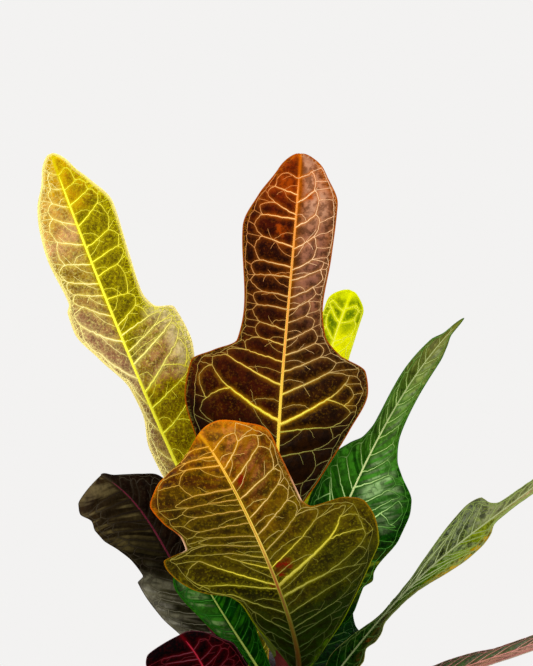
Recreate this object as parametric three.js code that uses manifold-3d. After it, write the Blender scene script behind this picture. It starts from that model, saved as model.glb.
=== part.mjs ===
// Potted croton: broad lobed leaves on one short woody stem, rooted in a plain round pot.
// Millimetres, +Z up, front seen from -Y. The origin is the centre of the pot's flat underside.

import * as THREE from "three";
import { mergeVertices } from "three/addons/utils/BufferGeometryUtils.js";
import Module from "manifold-3d";

const wasm = await Module();
wasm.setup();

// Driving dimensions
const GAP = 0.3;

const POT = {
  height: 150,
  rimRadius: 86,
  baseRadius: 62,
  wall: 5,
  floor: 6,
  rimDepth: 16,
  rimStep: 2.5,
  chamfer: 3,
  lip: { outer: 1.5, inner: 1 },
  segments: 48,
};

const SOIL = {
  level: 133,
  clearance: 0.45,
  grain: 1.32,
  eastWave: [0.11, 1.3],
  northWave: [0.13, -0.4],
  crossWave: [0.23, -0.19],
  crossShare: 0.6,
  mound: 2.5,
  moundRadius: 30,
  rings: 6,
  segments: 36,
};

const STEM = {
  axis: [[0, 0, 70], [0, 0, 135], [2, -2, 190], [-1, 2, 250], [1, 5, 322]],
  baseRadius: 8,
  topRadius: 4.2,
  sides: 12,
  steps: 16,
};

const BLADE = {
  thickness: 1,
  keel: 0.9,
  keelFade: 0.7,
  petioleRadius: 1.7,
  petioleTaper: [1.15, 0.85],
  petioleRings: [0, 0.5, 1],
  columns: [-1, -0.5, 0, 0.5, 1],
  curlSpan: 45,
  widestRing: 0.12,
  closestRing: 0.04,
  tipCut: 0.06,
  seat: 1,
};

// Colour families of the foliage: colour, roughness
const FOLIAGE = {
  yellow: [0xb5b32a, 0.45],
  bronze: [0x3a1a10, 0.4],
  olive: [0x7a6a1c, 0.45],
  green: [0x1e5a2c, 0.35],
  burgundy: [0x3c161c, 0.4],
};

// Leaves, each by hand: the height and the bearing in degrees from +X where it leaves the stem, three
// more points of its midrib, the way its upper side faces at base and tip, and half-widths as
// [share of the blade, mm] per side, left and right as seen on the upper side with the tip up.
const LEAVES = [
  {
    name: "leaf_upper_left", family: "yellow", stemZ: 301, bearing: 170,
    midrib: [[-47, 26, 378], [-87, 34, 470], [-119, 36, 555]],
    face: [[0.3, -1, 0.1], [0.3, -1, 0.1]], petiole: 25, tip: 10, sweep: 0.3,
    left: [[0, 1.5], [0.2, 7], [0.37, 10], [0.45, 5.7], [0.5, 6.5], [0.57, 15.7], [0.63, 22.6], [0.67, 22],
      [0.69, 19.5], [0.78, 21.5], [0.84, 20], [0.89, 16.6], [0.94, 10], [1, 4.5]],
    right: [[0, 1.5], [0.2, 12], [0.35, 20], [0.45, 28], [0.52, 33.2], [0.59, 31.3], [0.62, 21.7],
      [0.66, 18.5], [0.74, 19.8], [0.84, 21.5], [0.91, 14.4], [0.95, 9], [1, 4.5]],
  },
  {
    name: "leaf_upper_centre", family: "bronze", stemZ: 306, bearing: -100,
    midrib: [[-4, 8, 387], [1, 14, 468], [8, 10, 557]],
    face: [[0, -1, 0], [0, -1, 0]], petiole: 25, tip: 10,
    left: [[0, 1.5], [0.1, 8], [0.2, 24], [0.32, 43], [0.4, 49], [0.47, 47], [0.51, 36],
      [0.55, 24.5], [0.62, 22.5], [0.8, 26.5], [0.88, 20], [0.95, 11], [1, 6]],
    right: [[0, 1.5], [0.15, 7], [0.25, 22], [0.35, 36], [0.43, 44], [0.48, 42], [0.53, 28],
      [0.58, 20], [0.65, 17.5], [0.75, 19.5], [0.87, 20.5], [0.94, 14], [1, 7]],
  },
  {
    name: "leaf_young_back", family: "yellow", stemZ: 312, bearing: 70,
    midrib: [[7, 40, 364], [18, 62, 424], [36, 66, 481]],
    face: [[0, -1, 0.1], [0, -1, 0.1]], petiole: 20, tip: 12,
    left: [[0, 1.5], [0.2, 8], [0.5, 12], [0.8, 10], [0.93, 10.5], [1, 7]],
    right: [[0, 1.5], [0.2, 7], [0.5, 10], [0.8, 10.5], [0.93, 10], [1, 6]],
  },
  {
    name: "leaf_right_pointed", family: "green", stemZ: 284, bearing: 15,
    midrib: [[21, 14, 349], [52, 18, 419], [90, 4, 475]],
    face: [[0.5, -0.8, 0], [-0.2, -0.9, 0.2]], petiole: 28, tip: 8,
    left: [[0, 1.5], [0.1, 9], [0.2, 15], [0.34, 20.5], [0.42, 18.7], [0.46, 18], [0.52, 12.3], [0.56, 7.3],
      [0.61, 5.5], [0.77, 6.7], [0.88, 5], [0.93, 2], [1, 0.9]],
    right: [[0, 1.5], [0.04, 22], [0.08, 23.8], [0.14, 24], [0.165, 27.5], [0.19, 26.5], [0.3, 32.1],
      [0.36, 32.2], [0.42, 29.7], [0.49, 19.4], [0.53, 14.1], [0.61, 9.2], [0.72, 7.3], [0.85, 6],
      [0.9, 3.9], [0.94, 1.5], [1, 0.9]],
  },
  {
    name: "leaf_far_right", family: "green", stemZ: 259, bearing: -20,
    midrib: [[54, -20, 333], [92, -35, 373], [148, -45, 420]],
    face: [[-0.56, -0.42, 0.71], [-0.56, -0.42, 0.71]], petiole: 28, tip: 8,
    left: [[0, 1.5], [0.08, 12], [0.16, 9], [0.3, 2.5], [0.4, 3.9], [0.46, 7.9], [0.57, 16.3], [0.62, 18.6],
      [0.66, 17], [0.69, 9.5], [0.72, 6], [0.8, 5], [1, 2]],
    right: [[0, 1.5], [0.08, 14], [0.17, 17], [0.2, 9.5], [0.235, 13], [0.26, 12], [0.29, 6], [0.39, 7.8],
      [0.52, 15.7], [0.57, 17.1], [0.62, 15.8], [0.66, 11.6], [0.69, 4.5], [0.76, 3.5], [0.85, 5], [1, 2]],
  },
  {
    name: "leaf_low_right", family: "green", stemZ: 241, bearing: -15,
    midrib: [[58, -15, 286], [108, -25, 309], [158, -35, 333]],
    face: [[-0.39, 0.08, 0.92], [-0.39, 0.08, 0.92]], petiole: 25, tip: 12, fold: [6, 4],
    left: [[0, 1.5], [0.2, 20], [0.38, 28], [0.5, 24], [0.6, 17], [0.8, 18], [0.93, 14], [1, 6]],
    right: [[0, 1.5], [0.2, 20], [0.38, 28], [0.5, 24], [0.6, 17], [0.8, 18], [0.93, 14], [1, 6]],
  },
  {
    name: "leaf_front_turned", family: "olive", stemZ: 288, bearing: -85,
    midrib: [[4, -54, 328], [-18, -82, 392], [-41, -80, 431]],
    face: [[0, 1, 0], [0, 1, 0]], petiole: 18, tip: 6,
    left: [[0, 1.5], [0.06, 3.5], [0.18, 14], [0.25, 25], [0.32, 35.5], [0.39, 47], [0.43, 53.3],
      [0.5, 55.5], [0.55, 54], [0.595, 46], [0.635, 29], [0.67, 26.5], [0.8, 27], [0.86, 28], [0.93, 19],
      [1, 6]],
    right: [[0, 1.5], [0.1, 4], [0.2, 9.5], [0.34, 17.5], [0.42, 20], [0.455, 24], [0.475, 33], [0.5, 39],
      [0.56, 45], [0.6, 46.5], [0.625, 46], [0.65, 34], [0.69, 33.5], [0.76, 38], [0.82, 39.5], [0.88, 34],
      [0.95, 24], [1, 8]],
  },
  {
    name: "leaf_left_dark", family: "burgundy", stemZ: 265, bearing: -145,
    midrib: [[-43, -32, 335], [-65, -52, 381], [-88, -68, 409]],
    face: [[0.15, -0.8, 0.5], [0, -0.8, 0.5]], petiole: 30, tip: 4, sweep: 0.6,
    left: [[0, 1.5], [0.15, 10], [0.29, 15.9], [0.37, 19.5], [0.48, 21.2], [0.52, 21.1], [0.545, 17],
      [0.61, 18], [0.67, 20.8], [0.76, 25.1], [0.83, 25.6], [0.89, 23.3], [0.93, 23.7], [0.97, 19.7],
      [1, 14]],
    right: [[0, 1.5], [0.15, 18], [0.35, 26], [0.55, 24], [0.77, 18.2], [0.84, 12.3], [0.9, 7.1],
      [0.96, 2.8], [1, 1.5]],
  },
  {
    name: "leaf_low_left", family: "burgundy", stemZ: 236, bearing: -120,
    midrib: [[-31, -45, 292], [-41, -66, 317], [-50, -80, 334]],
    face: [[0, -1, 0.1], [0, -1, 0.1]], petiole: 25, tip: 5, sweep: 0.45,
    left: [[0, 1.5], [0.2, 10], [0.5, 20], [0.8, 24], [0.9, 22], [0.96, 18.2], [1, 13]],
    right: [[0, 1.5], [0.2, 10], [0.5, 20], [0.73, 19.1], [0.82, 14.4], [0.9, 10.1], [0.97, 5.1], [1, 3]],
  },
  {
    name: "leaf_left_green", family: "green", stemZ: 276, bearing: -115,
    midrib: [[-17, -34, 311], [-32, -48, 339], [-46, -52, 366]],
    face: [[0, -0.9, 0.4], [0, -0.9, 0.4]], petiole: 20, tip: 12,
    left: [[0, 1.5], [0.06, 12], [0.13, 11], [0.27, 3], [0.45, 3.2], [0.54, 7.9], [0.69, 11.2],
      [0.85, 14.2], [0.92, 12.7], [1, 5]],
    right: [[0, 1.5], [0.1, 5], [0.4, 9], [0.65, 14], [0.8, 12], [1, 5]],
  },
  {
    name: "leaf_back_centre", family: "green", stemZ: 293, bearing: 100,
    midrib: [[-7, 50, 319], [-11, 90, 364], [-14, 115, 419]],
    face: [[0, -0.8, 0.6], [0, -0.8, 0.6]], petiole: 28, tip: 10,
    left: [[0, 1.5], [0.2, 14], [0.4, 24], [0.52, 20], [0.6, 13], [0.8, 16], [0.92, 12], [1, 5]],
    right: [[0, 1.5], [0.2, 14], [0.38, 24], [0.5, 22], [0.6, 13], [0.8, 15], [0.92, 12], [1, 5]],
  },
  {
    name: "leaf_back_right", family: "bronze", stemZ: 269, bearing: 65,
    midrib: [[11, 50, 286], [21, 85, 310], [30, 110, 335]],
    face: [[-0.1, -0.7, 0.7], [-0.1, -0.7, 0.7]], petiole: 28, tip: 10,
    left: [[0, 1.5], [0.2, 10], [0.45, 16], [0.6, 12], [0.8, 14], [0.92, 11], [1, 5]],
    right: [[0, 1.5], [0.1, 14], [0.25, 27], [0.33, 27], [0.42, 22.3], [0.5, 19.5], [0.6, 17.4],
      [0.8, 13], [0.92, 10], [1, 5]],
  },
  {
    name: "leaf_back_left", family: "olive", stemZ: 258, bearing: 125,
    midrib: [[-18, 50, 289], [-30, 85, 321], [-41, 105, 350]],
    face: [[0.1, -0.7, 0.7], [0.1, -0.7, 0.7]], petiole: 28, tip: 10,
    left: [[0, 1.5], [0.2, 10], [0.45, 18], [0.6, 12], [0.8, 14], [0.92, 11], [1, 5]],
    right: [[0, 1.5], [0.2, 10], [0.45, 18], [0.6, 12], [0.8, 13], [0.92, 10], [1, 5]],
  },
  {
    name: "leaf_back_low", family: "burgundy", stemZ: 249, bearing: 90,
    midrib: [[1, 60, 273], [4, 110, 289], [8, 150, 301]],
    face: [[0, -0.3, 1], [0, -0.3, 1]], petiole: 28, tip: 10,
    left: [[0, 1.5], [0.2, 14], [0.4, 28], [0.5, 24], [0.6, 15], [0.8, 18], [0.92, 14], [1, 6]],
    right: [[0, 1.5], [0.2, 14], [0.38, 28], [0.5, 25], [0.6, 15], [0.8, 17], [0.92, 13], [1, 6]],
  },
];

// The skirt of older leaves below them winds round the stem by one rule.
const SKIRT = {
  count: 18,
  lowestZ: 166,
  highestZ: 226,
  firstTurn: 35,
  turn: 137.5,
  length: [186, 158],
  rise: [22, 40],
  droop: [-46, -20],
  roll: 0.22,
  rollStep: 1.7,
  unevenStep: 2.4,
  unevenLength: 0.06,
  unevenRise: 4,
  unevenWidth: 0.06,
  width: 0.94,
  waveHeight: 1.5,
  waves: 3,
  waveStep: 0.13,
  petiole: 34,
  families: ["burgundy", "green", "bronze", "green", "olive"],
  lobed: [[0, 1.5], [0.12, 12], [0.28, 33], [0.38, 40], [0.47, 36], [0.56, 21], [0.72, 22],
    [0.86, 19], [0.94, 13], [1, 5]],
  plain: [[0, 1.5], [0.15, 13], [0.4, 28], [0.62, 32], [0.8, 27], [0.92, 17], [1, 5]],
};

const DEGREE = Math.PI / 180;
const WELD = 1e-4;
const HALVINGS = 30;
const vector = (p) => new THREE.Vector3(...p);
const mix = (pair, share) => pair[0] + (pair[1] - pair[0]) * share;
const clamp = THREE.MathUtils.clamp;

const stemAxis = new THREE.CatmullRomCurve3(STEM.axis.map(vector));

// The stem's centre at a height
function onStem(z) {
  let low = 0;
  let high = 1;
  for (let i = 0; i < HALVINGS; i += 1) {
    const middle = (low + high) / 2;
    if (stemAxis.getPoint(middle).z < z) low = middle;
    else high = middle;
  }
  return stemAxis.getPoint(low);
}

function stemRadius(z) {
  const [low, high] = [STEM.axis[0][2], STEM.axis.at(-1)[2]];
  return mix([STEM.baseRadius, STEM.topRadius], (z - low) / (high - low));
}

// Where a leaf stalk starts, a little under the stem's bark
function leafFoot({ stemZ, bearing }) {
  const reach = stemRadius(stemZ) - BLADE.seat;
  const out = new THREE.Vector3(Math.cos(bearing * DEGREE), Math.sin(bearing * DEGREE), 0);
  return onStem(stemZ).addScaledVector(out, reach);
}

// A smooth rule through [position, value] stations that never overshoots them
function stationRule(stations) {
  const steps = stations.slice(1).map(([x, y], i) => (y - stations[i][1]) / (x - stations[i][0]));
  const slopes = stations.map((_, i) => {
    if (i === 0) return steps[0];
    if (i === steps.length) return steps[i - 1];
    const product = steps[i - 1] * steps[i];
    return product <= 0 ? 0 : (2 * product) / (steps[i - 1] + steps[i]);
  });
  return (x) => {
    const last = stations.length - 2;
    const i = clamp(stations.findIndex((s) => s[0] > x) - 1, 0, last);
    const index = x >= stations[last + 1][0] ? last : i;
    const span = stations[index + 1][0] - stations[index][0];
    const t = clamp((x - stations[index][0]) / span, 0, 1);
    const near = (1 + 2 * t) * (1 - t) ** 2 * stations[index][1];
    const far = t * t * (3 - 2 * t) * stations[index + 1][1];
    const bend = t * (1 - t) * ((1 - t) * slopes[index] - t * slopes[index + 1]);
    return near + far + bend * span;
  };
}

// A leaf's shape: a midrib in space, and a blade that is flat paper bent about it
class Leaf {
  constructor(spec) {
    const [a, b, c, d] = [leafFoot(spec), ...spec.midrib.map(vector)];
    this.spec = { tip: 12, sweep: 0.25, fold: [12, 8], curl: [-10, -10], wave: [0, 3, 0], ...spec };
    this.curve = new THREE.CubicBezierCurve3(a, Leaf.handle(a, b, c, d), Leaf.handle(d, c, b, a), d);
    this.length = this.curve.getLength();
    this.blade = this.length - spec.petiole;
    this.face = spec.face.map(vector);
    this.half = { [-1]: stationRule(spec.left), 1: stationRule(spec.right) };
  }

  // The handle beside the first point that makes a cubic pass the second and third on its way
  static handle(a, b, c, d) {
    const sum = a.clone().multiplyScalar(-5).addScaledVector(b, 18);
    return sum.addScaledVector(c, -9).addScaledVector(d, 2).divideScalar(6);
  }

  // Point, run, upward normal and right-hand side at a distance along, straight on past the tip
  frame(distance) {
    const share = clamp(distance / this.length, 0, 1);
    const run = this.curve.getTangentAt(share);
    const point = this.curve.getPointAt(share);
    point.addScaledVector(run, distance - share * this.length);
    const normal = this.face[0].clone().lerp(this.face[1], share);
    normal.addScaledVector(run, -normal.dot(run)).normalize();
    return { point, run, normal, side: run.clone().cross(normal) };
  }

  halfWidth(side, share) {
    const intoTip = clamp(1 - ((1 - share) * this.blade) / this.spec.tip, 0, 1);
    return this.half[side](share) * Math.sqrt(1 - intoTip ** 2);
  }

  // Middle of the blade's thickness and its normal, at a share of the blade and of its half-width
  surface(share, across) {
    const { sweep, fold, curl, wave, petiole } = this.spec;
    const side = across < 0 ? -1 : 1;
    const reach = Math.abs(across) * this.halfWidth(side, share);
    const axes = this.frame(petiole + share * this.blade + sweep * reach);
    const start = mix(fold, share) * DEGREE;
    const bend = (mix(curl, share) * DEGREE) / BLADE.curlSpan;
    const end = start + bend * reach;
    const out = (Math.sin(end) - Math.sin(start)) / bend;
    const ripple = wave[0] * across ** 2 * Math.sin(2 * Math.PI * (wave[1] * share + wave[2] * side));
    const up = (Math.cos(start) - Math.cos(end)) / bend + ripple;
    const tilt = across === 0 ? 0 : Math.sin(end) * side;
    const point = axes.point.clone().addScaledVector(axes.side, out * side).addScaledVector(axes.normal, up);
    const normal = axes.normal.clone().multiplyScalar(Math.sqrt(1 - tilt ** 2));
    return { point, normal: normal.addScaledVector(axes.side, -tilt) };
  }

  // Shares of the blade that get a ring: both outlines' own stations, then even filling
  rings() {
    const { left, right, tip } = this.spec;
    const end = 1 - (BLADE.tipCut * tip) / this.blade;
    const shares = [...left, ...right].map((s) => s[0]).filter((s) => s > BLADE.closestRing && s < end);
    const kept = [0];
    for (const share of [...shares.sort((a, b) => a - b), end]) {
      const from = kept.at(-1);
      if (share - from < BLADE.closestRing && share < end) continue;
      const parts = Math.ceil((share - from) / BLADE.widestRing);
      for (let i = 1; i <= parts; i += 1) kept.push(from + ((share - from) * i) / parts);
    }
    return kept.slice(1);
  }
}

// A closed skin over rings of points; the two faces of a leaf share one diagonal per cell
function skinGeometry(rings, { mirroredDiagonals = false } = {}) {
  const count = rings[0].length;
  const half = count / 2;
  const positions = rings.flat().flatMap((p) => p.toArray());
  const index = [];
  for (let i = 0; i + 1 < rings.length; i += 1) {
    for (let j = 0; j < count; j += 1) {
      const next = (j + 1) % count;
      const [a, b, c, d] = [i * count + j, i * count + next, (i + 1) * count + next, (i + 1) * count + j];
      if (mirroredDiagonals && j >= half) index.push(a, b, d, b, c, d);
      else index.push(a, b, c, a, c, d);
    }
  }
  const last = (rings.length - 1) * count;
  for (let j = 0; j + 1 < half; j += 1) {
    const [a, b, c, d] = [j, j + 1, count - 2 - j, count - 1 - j];
    index.push(a, c, b, a, d, c);
    index.push(last + a, last + b, last + c, last + a, last + c, last + d);
  }
  const geometry = new THREE.BufferGeometry();
  geometry.setAttribute("position", new THREE.Float32BufferAttribute(positions, 3));
  geometry.setIndex(index);
  return geometry;
}

function petioleRing(leaf, distance, radius) {
  const { point, normal, side } = leaf.frame(distance);
  const count = BLADE.columns.length;
  const around = (angle) => point.clone()
    .addScaledVector(side, Math.cos(angle) * radius)
    .addScaledVector(normal, Math.sin(angle) * radius);
  return Array.from({ length: 2 * count }, (_, i) => around(Math.PI - ((i + 0.5) * Math.PI) / count));
}

function bladeRing(leaf, share) {
  const half = BLADE.thickness / 2;
  const keel = BLADE.keel * (1 - BLADE.keelFade * share);
  const upper = BLADE.columns.map((across) => {
    const { point, normal } = leaf.surface(share, across);
    return point.addScaledVector(normal, half);
  });
  const lower = BLADE.columns.map((across) => {
    const { point, normal } = leaf.surface(share, across);
    return point.addScaledVector(normal, -half - (across === 0 ? keel : 0));
  });
  return [...upper, ...lower.reverse()];
}

function leafGeometry(leaf) {
  const stalk = BLADE.petioleRings.map((share) => {
    const radius = BLADE.petioleRadius * mix(BLADE.petioleTaper, share);
    return petioleRing(leaf, share * leaf.spec.petiole, radius);
  });
  const blade = leaf.rings().map((share) => bladeRing(leaf, share));
  return skinGeometry([...stalk, ...blade], { mirroredDiagonals: true });
}

// The skirt's leaves: each arches from its rise at the stem to its droop at the tip
function skirtLeaf(number) {
  const share = number / (SKIRT.count - 1);
  const bearing = SKIRT.firstTurn + number * SKIRT.turn;
  const [east, north] = [Math.cos(bearing * DEGREE), Math.sin(bearing * DEGREE)];
  const uneven = Math.sin(number * SKIRT.unevenStep);
  const length = mix(SKIRT.length, share) * (1 + SKIRT.unevenLength * uneven);
  const rise = (mix(SKIRT.rise, share) + SKIRT.unevenRise * uneven) * DEGREE;
  const droop = mix(SKIRT.droop, share) * DEGREE;
  const stemZ = mix([SKIRT.lowestZ, SKIRT.highestZ], share);
  const foot = leafFoot({ stemZ, bearing });
  const midrib = [1 / 3, 2 / 3, 1].map((part) => {
    const slope = rise + (droop - rise) * part;
    const out = (length * (Math.sin(slope) - Math.sin(rise))) / (droop - rise);
    const up = (length * (Math.cos(rise) - Math.cos(slope))) / (droop - rise);
    return [foot.x + out * east, foot.y + out * north, foot.z + up];
  });
  const lean = SKIRT.roll * Math.cos(number * SKIRT.rollStep);
  const face = [-north * lean, east * lean, 1];
  const outline = number % 3 === 1 ? SKIRT.plain : SKIRT.lobed;
  const scaled = (factor) => outline.map(([at, width]) => [at, at === 0 ? width : width * factor]);
  return {
    name: `leaf_lower_${String(number + 1).padStart(2, "0")}`,
    family: SKIRT.families[number % SKIRT.families.length],
    stemZ,
    bearing,
    midrib,
    face: [face, face],
    petiole: SKIRT.petiole,
    left: scaled(SKIRT.width + SKIRT.unevenWidth * uneven),
    right: scaled(SKIRT.width - SKIRT.unevenWidth * uneven),
    wave: [SKIRT.waveHeight, SKIRT.waves, SKIRT.waveStep * number],
  };
}

// Solids for cutting
function solidOf(geometry) {
  const bare = geometry.clone();
  bare.deleteAttribute("normal");
  bare.deleteAttribute("uv");
  const merged = mergeVertices(bare, WELD);
  const vertProperties = new Float32Array(merged.attributes.position.array);
  const triVerts = new Uint32Array(merged.index.array);
  return new wasm.Manifold(new wasm.Mesh({ numProp: 3, vertProperties, triVerts }));
}

function geometryOf(solid) {
  const mesh = solid.getMesh();
  const geometry = new THREE.BufferGeometry();
  geometry.setAttribute("position", new THREE.BufferAttribute(mesh.vertProperties, 3));
  geometry.setIndex(new THREE.BufferAttribute(mesh.triVerts, 1));
  return geometry;
}

// The stem, or the same tube grown by a clearance for the hole that it stands in
function stemGeometry(grow = 0) {
  const rings = Array.from({ length: STEM.steps + 1 }, (_, i) => {
    const share = i / STEM.steps;
    const centre = stemAxis.getPoint(share);
    const radius = stemRadius(centre.z) + grow;
    return Array.from({ length: STEM.sides }, (_, j) => {
      const angle = (2 * Math.PI * j) / STEM.sides;
      const rim = new THREE.Vector3(Math.cos(angle) * radius, Math.sin(angle) * radius, 0);
      return centre.clone().add(rim);
    });
  });
  for (const [ring, push] of [[rings[0], -grow], [rings.at(-1), grow]]) {
    for (const point of ring) point.z += push;
  }
  return skinGeometry(rings);
}

// Radius of the pot's wall at a height, outside or inside
function potRadius(z, inset = 0) {
  return mix([POT.baseRadius, POT.rimRadius - POT.rimStep], z / POT.height) - inset;
}

function potGeometry() {
  const { height, rimRadius, baseRadius, wall, floor, rimDepth, chamfer, lip, segments } = POT;
  const shoulder = height - rimDepth;
  const profile = [
    [0, 0],
    [baseRadius - chamfer, 0],
    [potRadius(chamfer), chamfer],
    [potRadius(shoulder), shoulder],
    [rimRadius, shoulder + chamfer],
    [rimRadius, height - chamfer],
    [rimRadius - lip.outer, height],
    [rimRadius - wall + lip.inner, height],
    [potRadius(height, wall), height - chamfer],
    [potRadius(floor + 2 * chamfer, wall), floor + 2 * chamfer],
    [potRadius(floor, wall + 2 * chamfer), floor],
    [0, floor],
  ];
  const lathe = new THREE.LatheGeometry(profile.map(([r, z]) => new THREE.Vector2(r, z)), segments);
  return lathe.rotateX(Math.PI / 2);
}

// Gentle uneven ground, highest round the stem
function soilHeight(x, y) {
  const { eastWave, northWave, crossWave, crossShare, grain, mound, moundRadius, level } = SOIL;
  const broad = Math.sin(eastWave[0] * x + eastWave[1]) * Math.cos(northWave[0] * y + northWave[1]);
  const cross = Math.sin(crossWave[0] * x + crossWave[1] * y);
  return level + grain * (broad + crossShare * cross) + mound * Math.exp(-(x * x + y * y) / moundRadius ** 2);
}

function soilGeometry() {
  const { floor, wall, chamfer } = POT;
  const inner = (z) => potRadius(z, wall + SOIL.clearance);
  const ringAt = (radius, height) => Array.from({ length: SOIL.segments }, (_, j) => {
    const angle = (2 * Math.PI * j) / SOIL.segments;
    const [x, y] = [radius * Math.cos(angle), radius * Math.sin(angle)];
    return new THREE.Vector3(x, y, height(x, y));
  });
  const bottom = floor + GAP;
  const corner = 2 * chamfer + 1;
  const edge = inner(SOIL.level);
  const walls = [
    ringAt(potRadius(floor, wall + corner), () => bottom),
    ringAt(inner(bottom + corner), () => bottom + corner),
  ];
  const tops = Array.from({ length: SOIL.rings }, (_, i) => ringAt(edge * (1 - i / SOIL.rings), soilHeight));
  return skinGeometry([...walls, ...tops]);
}

function material([color, roughness]) {
  return new THREE.MeshStandardMaterial({ color, roughness, metalness: 0 });
}

function part(name, geometry, finish) {
  const mesh = new THREE.Mesh(geometry, material(finish));
  mesh.name = name;
  return mesh;
}

// Assembly
const plant = new THREE.Group();
const socket = solidOf(stemGeometry(GAP));

plant.add(part("pot", potGeometry(), [0xe9e4da, 0.5]));
plant.add(part("soil", geometryOf(solidOf(soilGeometry()).subtract(socket)), [0x2e221a, 0.95]));
plant.add(part("stem", stemGeometry(), [0x8a7a5c, 0.8]));

const skirt = Array.from({ length: SKIRT.count }, (_, number) => skirtLeaf(number));
for (const spec of [...LEAVES, ...skirt]) {
  const cut = solidOf(leafGeometry(new Leaf(spec))).subtract(socket);
  plant.add(part(spec.name, geometryOf(cut), FOLIAGE[spec.family]));
}

export default plant;
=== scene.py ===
# Potted croton: veined leaves, barked stem, potting soil and a stoneware pot over the part's solids.
# Sizes are in millimetres until a mesh is made, and the part's own frame is kept.

import math
from collections import namedtuple
from itertools import combinations

import bpy
import numpy as np
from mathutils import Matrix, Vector


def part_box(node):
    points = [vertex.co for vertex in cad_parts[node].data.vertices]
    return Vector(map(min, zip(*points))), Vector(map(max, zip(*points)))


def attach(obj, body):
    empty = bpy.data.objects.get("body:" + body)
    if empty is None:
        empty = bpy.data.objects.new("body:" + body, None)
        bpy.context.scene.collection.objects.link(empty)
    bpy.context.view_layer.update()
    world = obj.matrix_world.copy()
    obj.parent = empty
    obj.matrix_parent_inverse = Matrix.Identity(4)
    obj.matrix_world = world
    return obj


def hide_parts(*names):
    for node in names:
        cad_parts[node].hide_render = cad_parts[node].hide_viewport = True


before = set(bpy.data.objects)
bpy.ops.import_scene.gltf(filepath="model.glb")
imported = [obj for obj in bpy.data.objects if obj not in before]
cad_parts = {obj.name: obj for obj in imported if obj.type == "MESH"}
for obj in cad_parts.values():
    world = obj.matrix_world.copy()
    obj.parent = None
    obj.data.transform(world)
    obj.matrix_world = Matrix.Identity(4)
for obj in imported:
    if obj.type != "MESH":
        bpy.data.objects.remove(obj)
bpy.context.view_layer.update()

MM = 0.001
BODY = "root"

# Camera: where the photograph was taken from
PICTURE_MM = 333.0
CAMERA_MM = 1300.0
CAMERA_ELEVATION = 8.0
AIM = np.array([-9.0, 0.0, 468.0])

# Studio: each light has a name, a place, a size in metres and a power in watts
WORLD_LIGHT = 0.5
WORLD_GLOSS = 0.06
LIT = (-5, -20, 400)
LIGHTS = [
    ("key", (-900, -900, 1300), 0.8, 22),
    ("fill", (1100, -700, 700), 1.0, 9),
    ("back", (300, 1100, 1100), 0.8, 10),
    ("front", (0, -1500, 500), 1.2, 5),
]
FLOOR_RADIUS = 900.0
FLOOR_LEVEL = -0.2

# Pot and stem, as in the solids
POT = {
    "base": 62.0, "wall": 5.0, "floor": 6.0, "rim_depth": 16.0, "rim_step": 2.5, "round": 3.0,
    "inner_round": 6.0,
}
STEM_AXIS = [[0, 0, 70], [0, 0, 135], [2, -2, 190], [-1, 2, 250], [1, 5, 322]]
STEM_RADII = (8.0, 4.2)
STEM_SAMPLES = 260

# Bark: a swelling and a scar where each leaf stands, and ridges round the stem
STEM_SWELLING = 0.9
STEM_SCAR = 0.25
BARK_RIDGE = 0.12

# Soil: an uneven bed with a mound at the stem and a side that goes down in the pot, and crumbs on it
SOIL_LEVEL = 133.0
SOIL_GRAIN = 1.32
SOIL_MOUND = 2.5
SOIL_MOUND_RADIUS = 30.0
SOIL_SIDE = 14.0
SOIL_SEED = 5
SOIL_WAVES = {"count": 46, "turn": (0, np.pi), "wave": (0.35, 1.7), "phase": (0, 6.3), "height": 0.16}
CRUMBS = 1300
CRUMB_SEED = 11

# Blade: how fine each build is, a thickness that thins towards the margin, a curl in degrees over
# CURL_SPAN, and tissue that swells away from veins and margin. LEAF_SEAT sets a foot into the stem,
# and CHUNK points are measured at once.
FINE = {"rows": 190, "columns": 81, "cap": 12, "step": 1.8}
GOOD = {"rows": 112, "columns": 37, "cap": 9, "step": 2.5}
PLAIN = {"rows": 70, "columns": 25, "cap": 7, "step": 3.2}
BLADE_THICKNESS = 0.5
EDGE_THINNING = 0.5
EDGE_POWER = 8
LEAST_WIDTH = 0.5
CURL_SPAN = 45.0
LEAF_SEAT = 1.0
MIDRIB_SAMPLES = 401
TIP_TURN = 0.94
TIP_MARGIN = 0.2
SWELL_FROM_VEIN = (0.4, 4.5)
SWELL_FROM_EDGE = (0.2, 4)
FAR_FROM_VEIN = 8.0
CHUNK = 400

# Stalk and midrib
PETIOLE_RADIUS = 1.9
FOOT_FLARE = 0.35
FOOT_LENGTH = 2.5
STALK_RINGS = 10
STALK_TONE = -0.4
MIDRIB_RINGS = 60
MIDRIB_SIDES = 10
MIDRIB_END = 0.994

# Veins: each kind's radius at both ends in mm, and its tone from 0 at the midrib to 1 in the finest
# net. Each stands proud of the blade, and sways. Loops and fields need a least gap to be filled.
VEIN_KINDS = {
    "strong_rib": (0.5, 0.25, 0.08), "rib": (0.5, 0.25, 0.2), "strong_arm": (0.38, 0.24, 0.2),
    "arm": (0.38, 0.24, 0.4), "loop": (0.28, 0.22, 0.55), "twig": (0.24, 0.18, 0.75),
    "spur": (0.22, 0.18, 0.85), "veinlet": (0.19, 0.14, 0.9), "rim": (0.18, 0.18, 0.95),
}
VEIN_SECTION = np.array([[-1, 0], [-0.55, 1], [0.55, 1], [1, 0], [0.55, -1], [-0.55, -1]])
VEIN_PROUD = 0.12
VEIN_RISE = 0.2
VEIN_SWAY = 0.16
VEIN_LEAN = 0.07
SIDE_SPAN = 6
TONE_FADE = 0.3
TONE_GAP = 1.1
FINE_TONE = 0.88
STRONG_WEIGHT = 1.3
NARROW_SIZE = 0.45
WIDE_ENOUGH = 30
NET_REACH = 0.955
RIM_PITCH = 3.4
LEAST_LOOP = 1.5
LEAST_FIELD = 4

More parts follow.
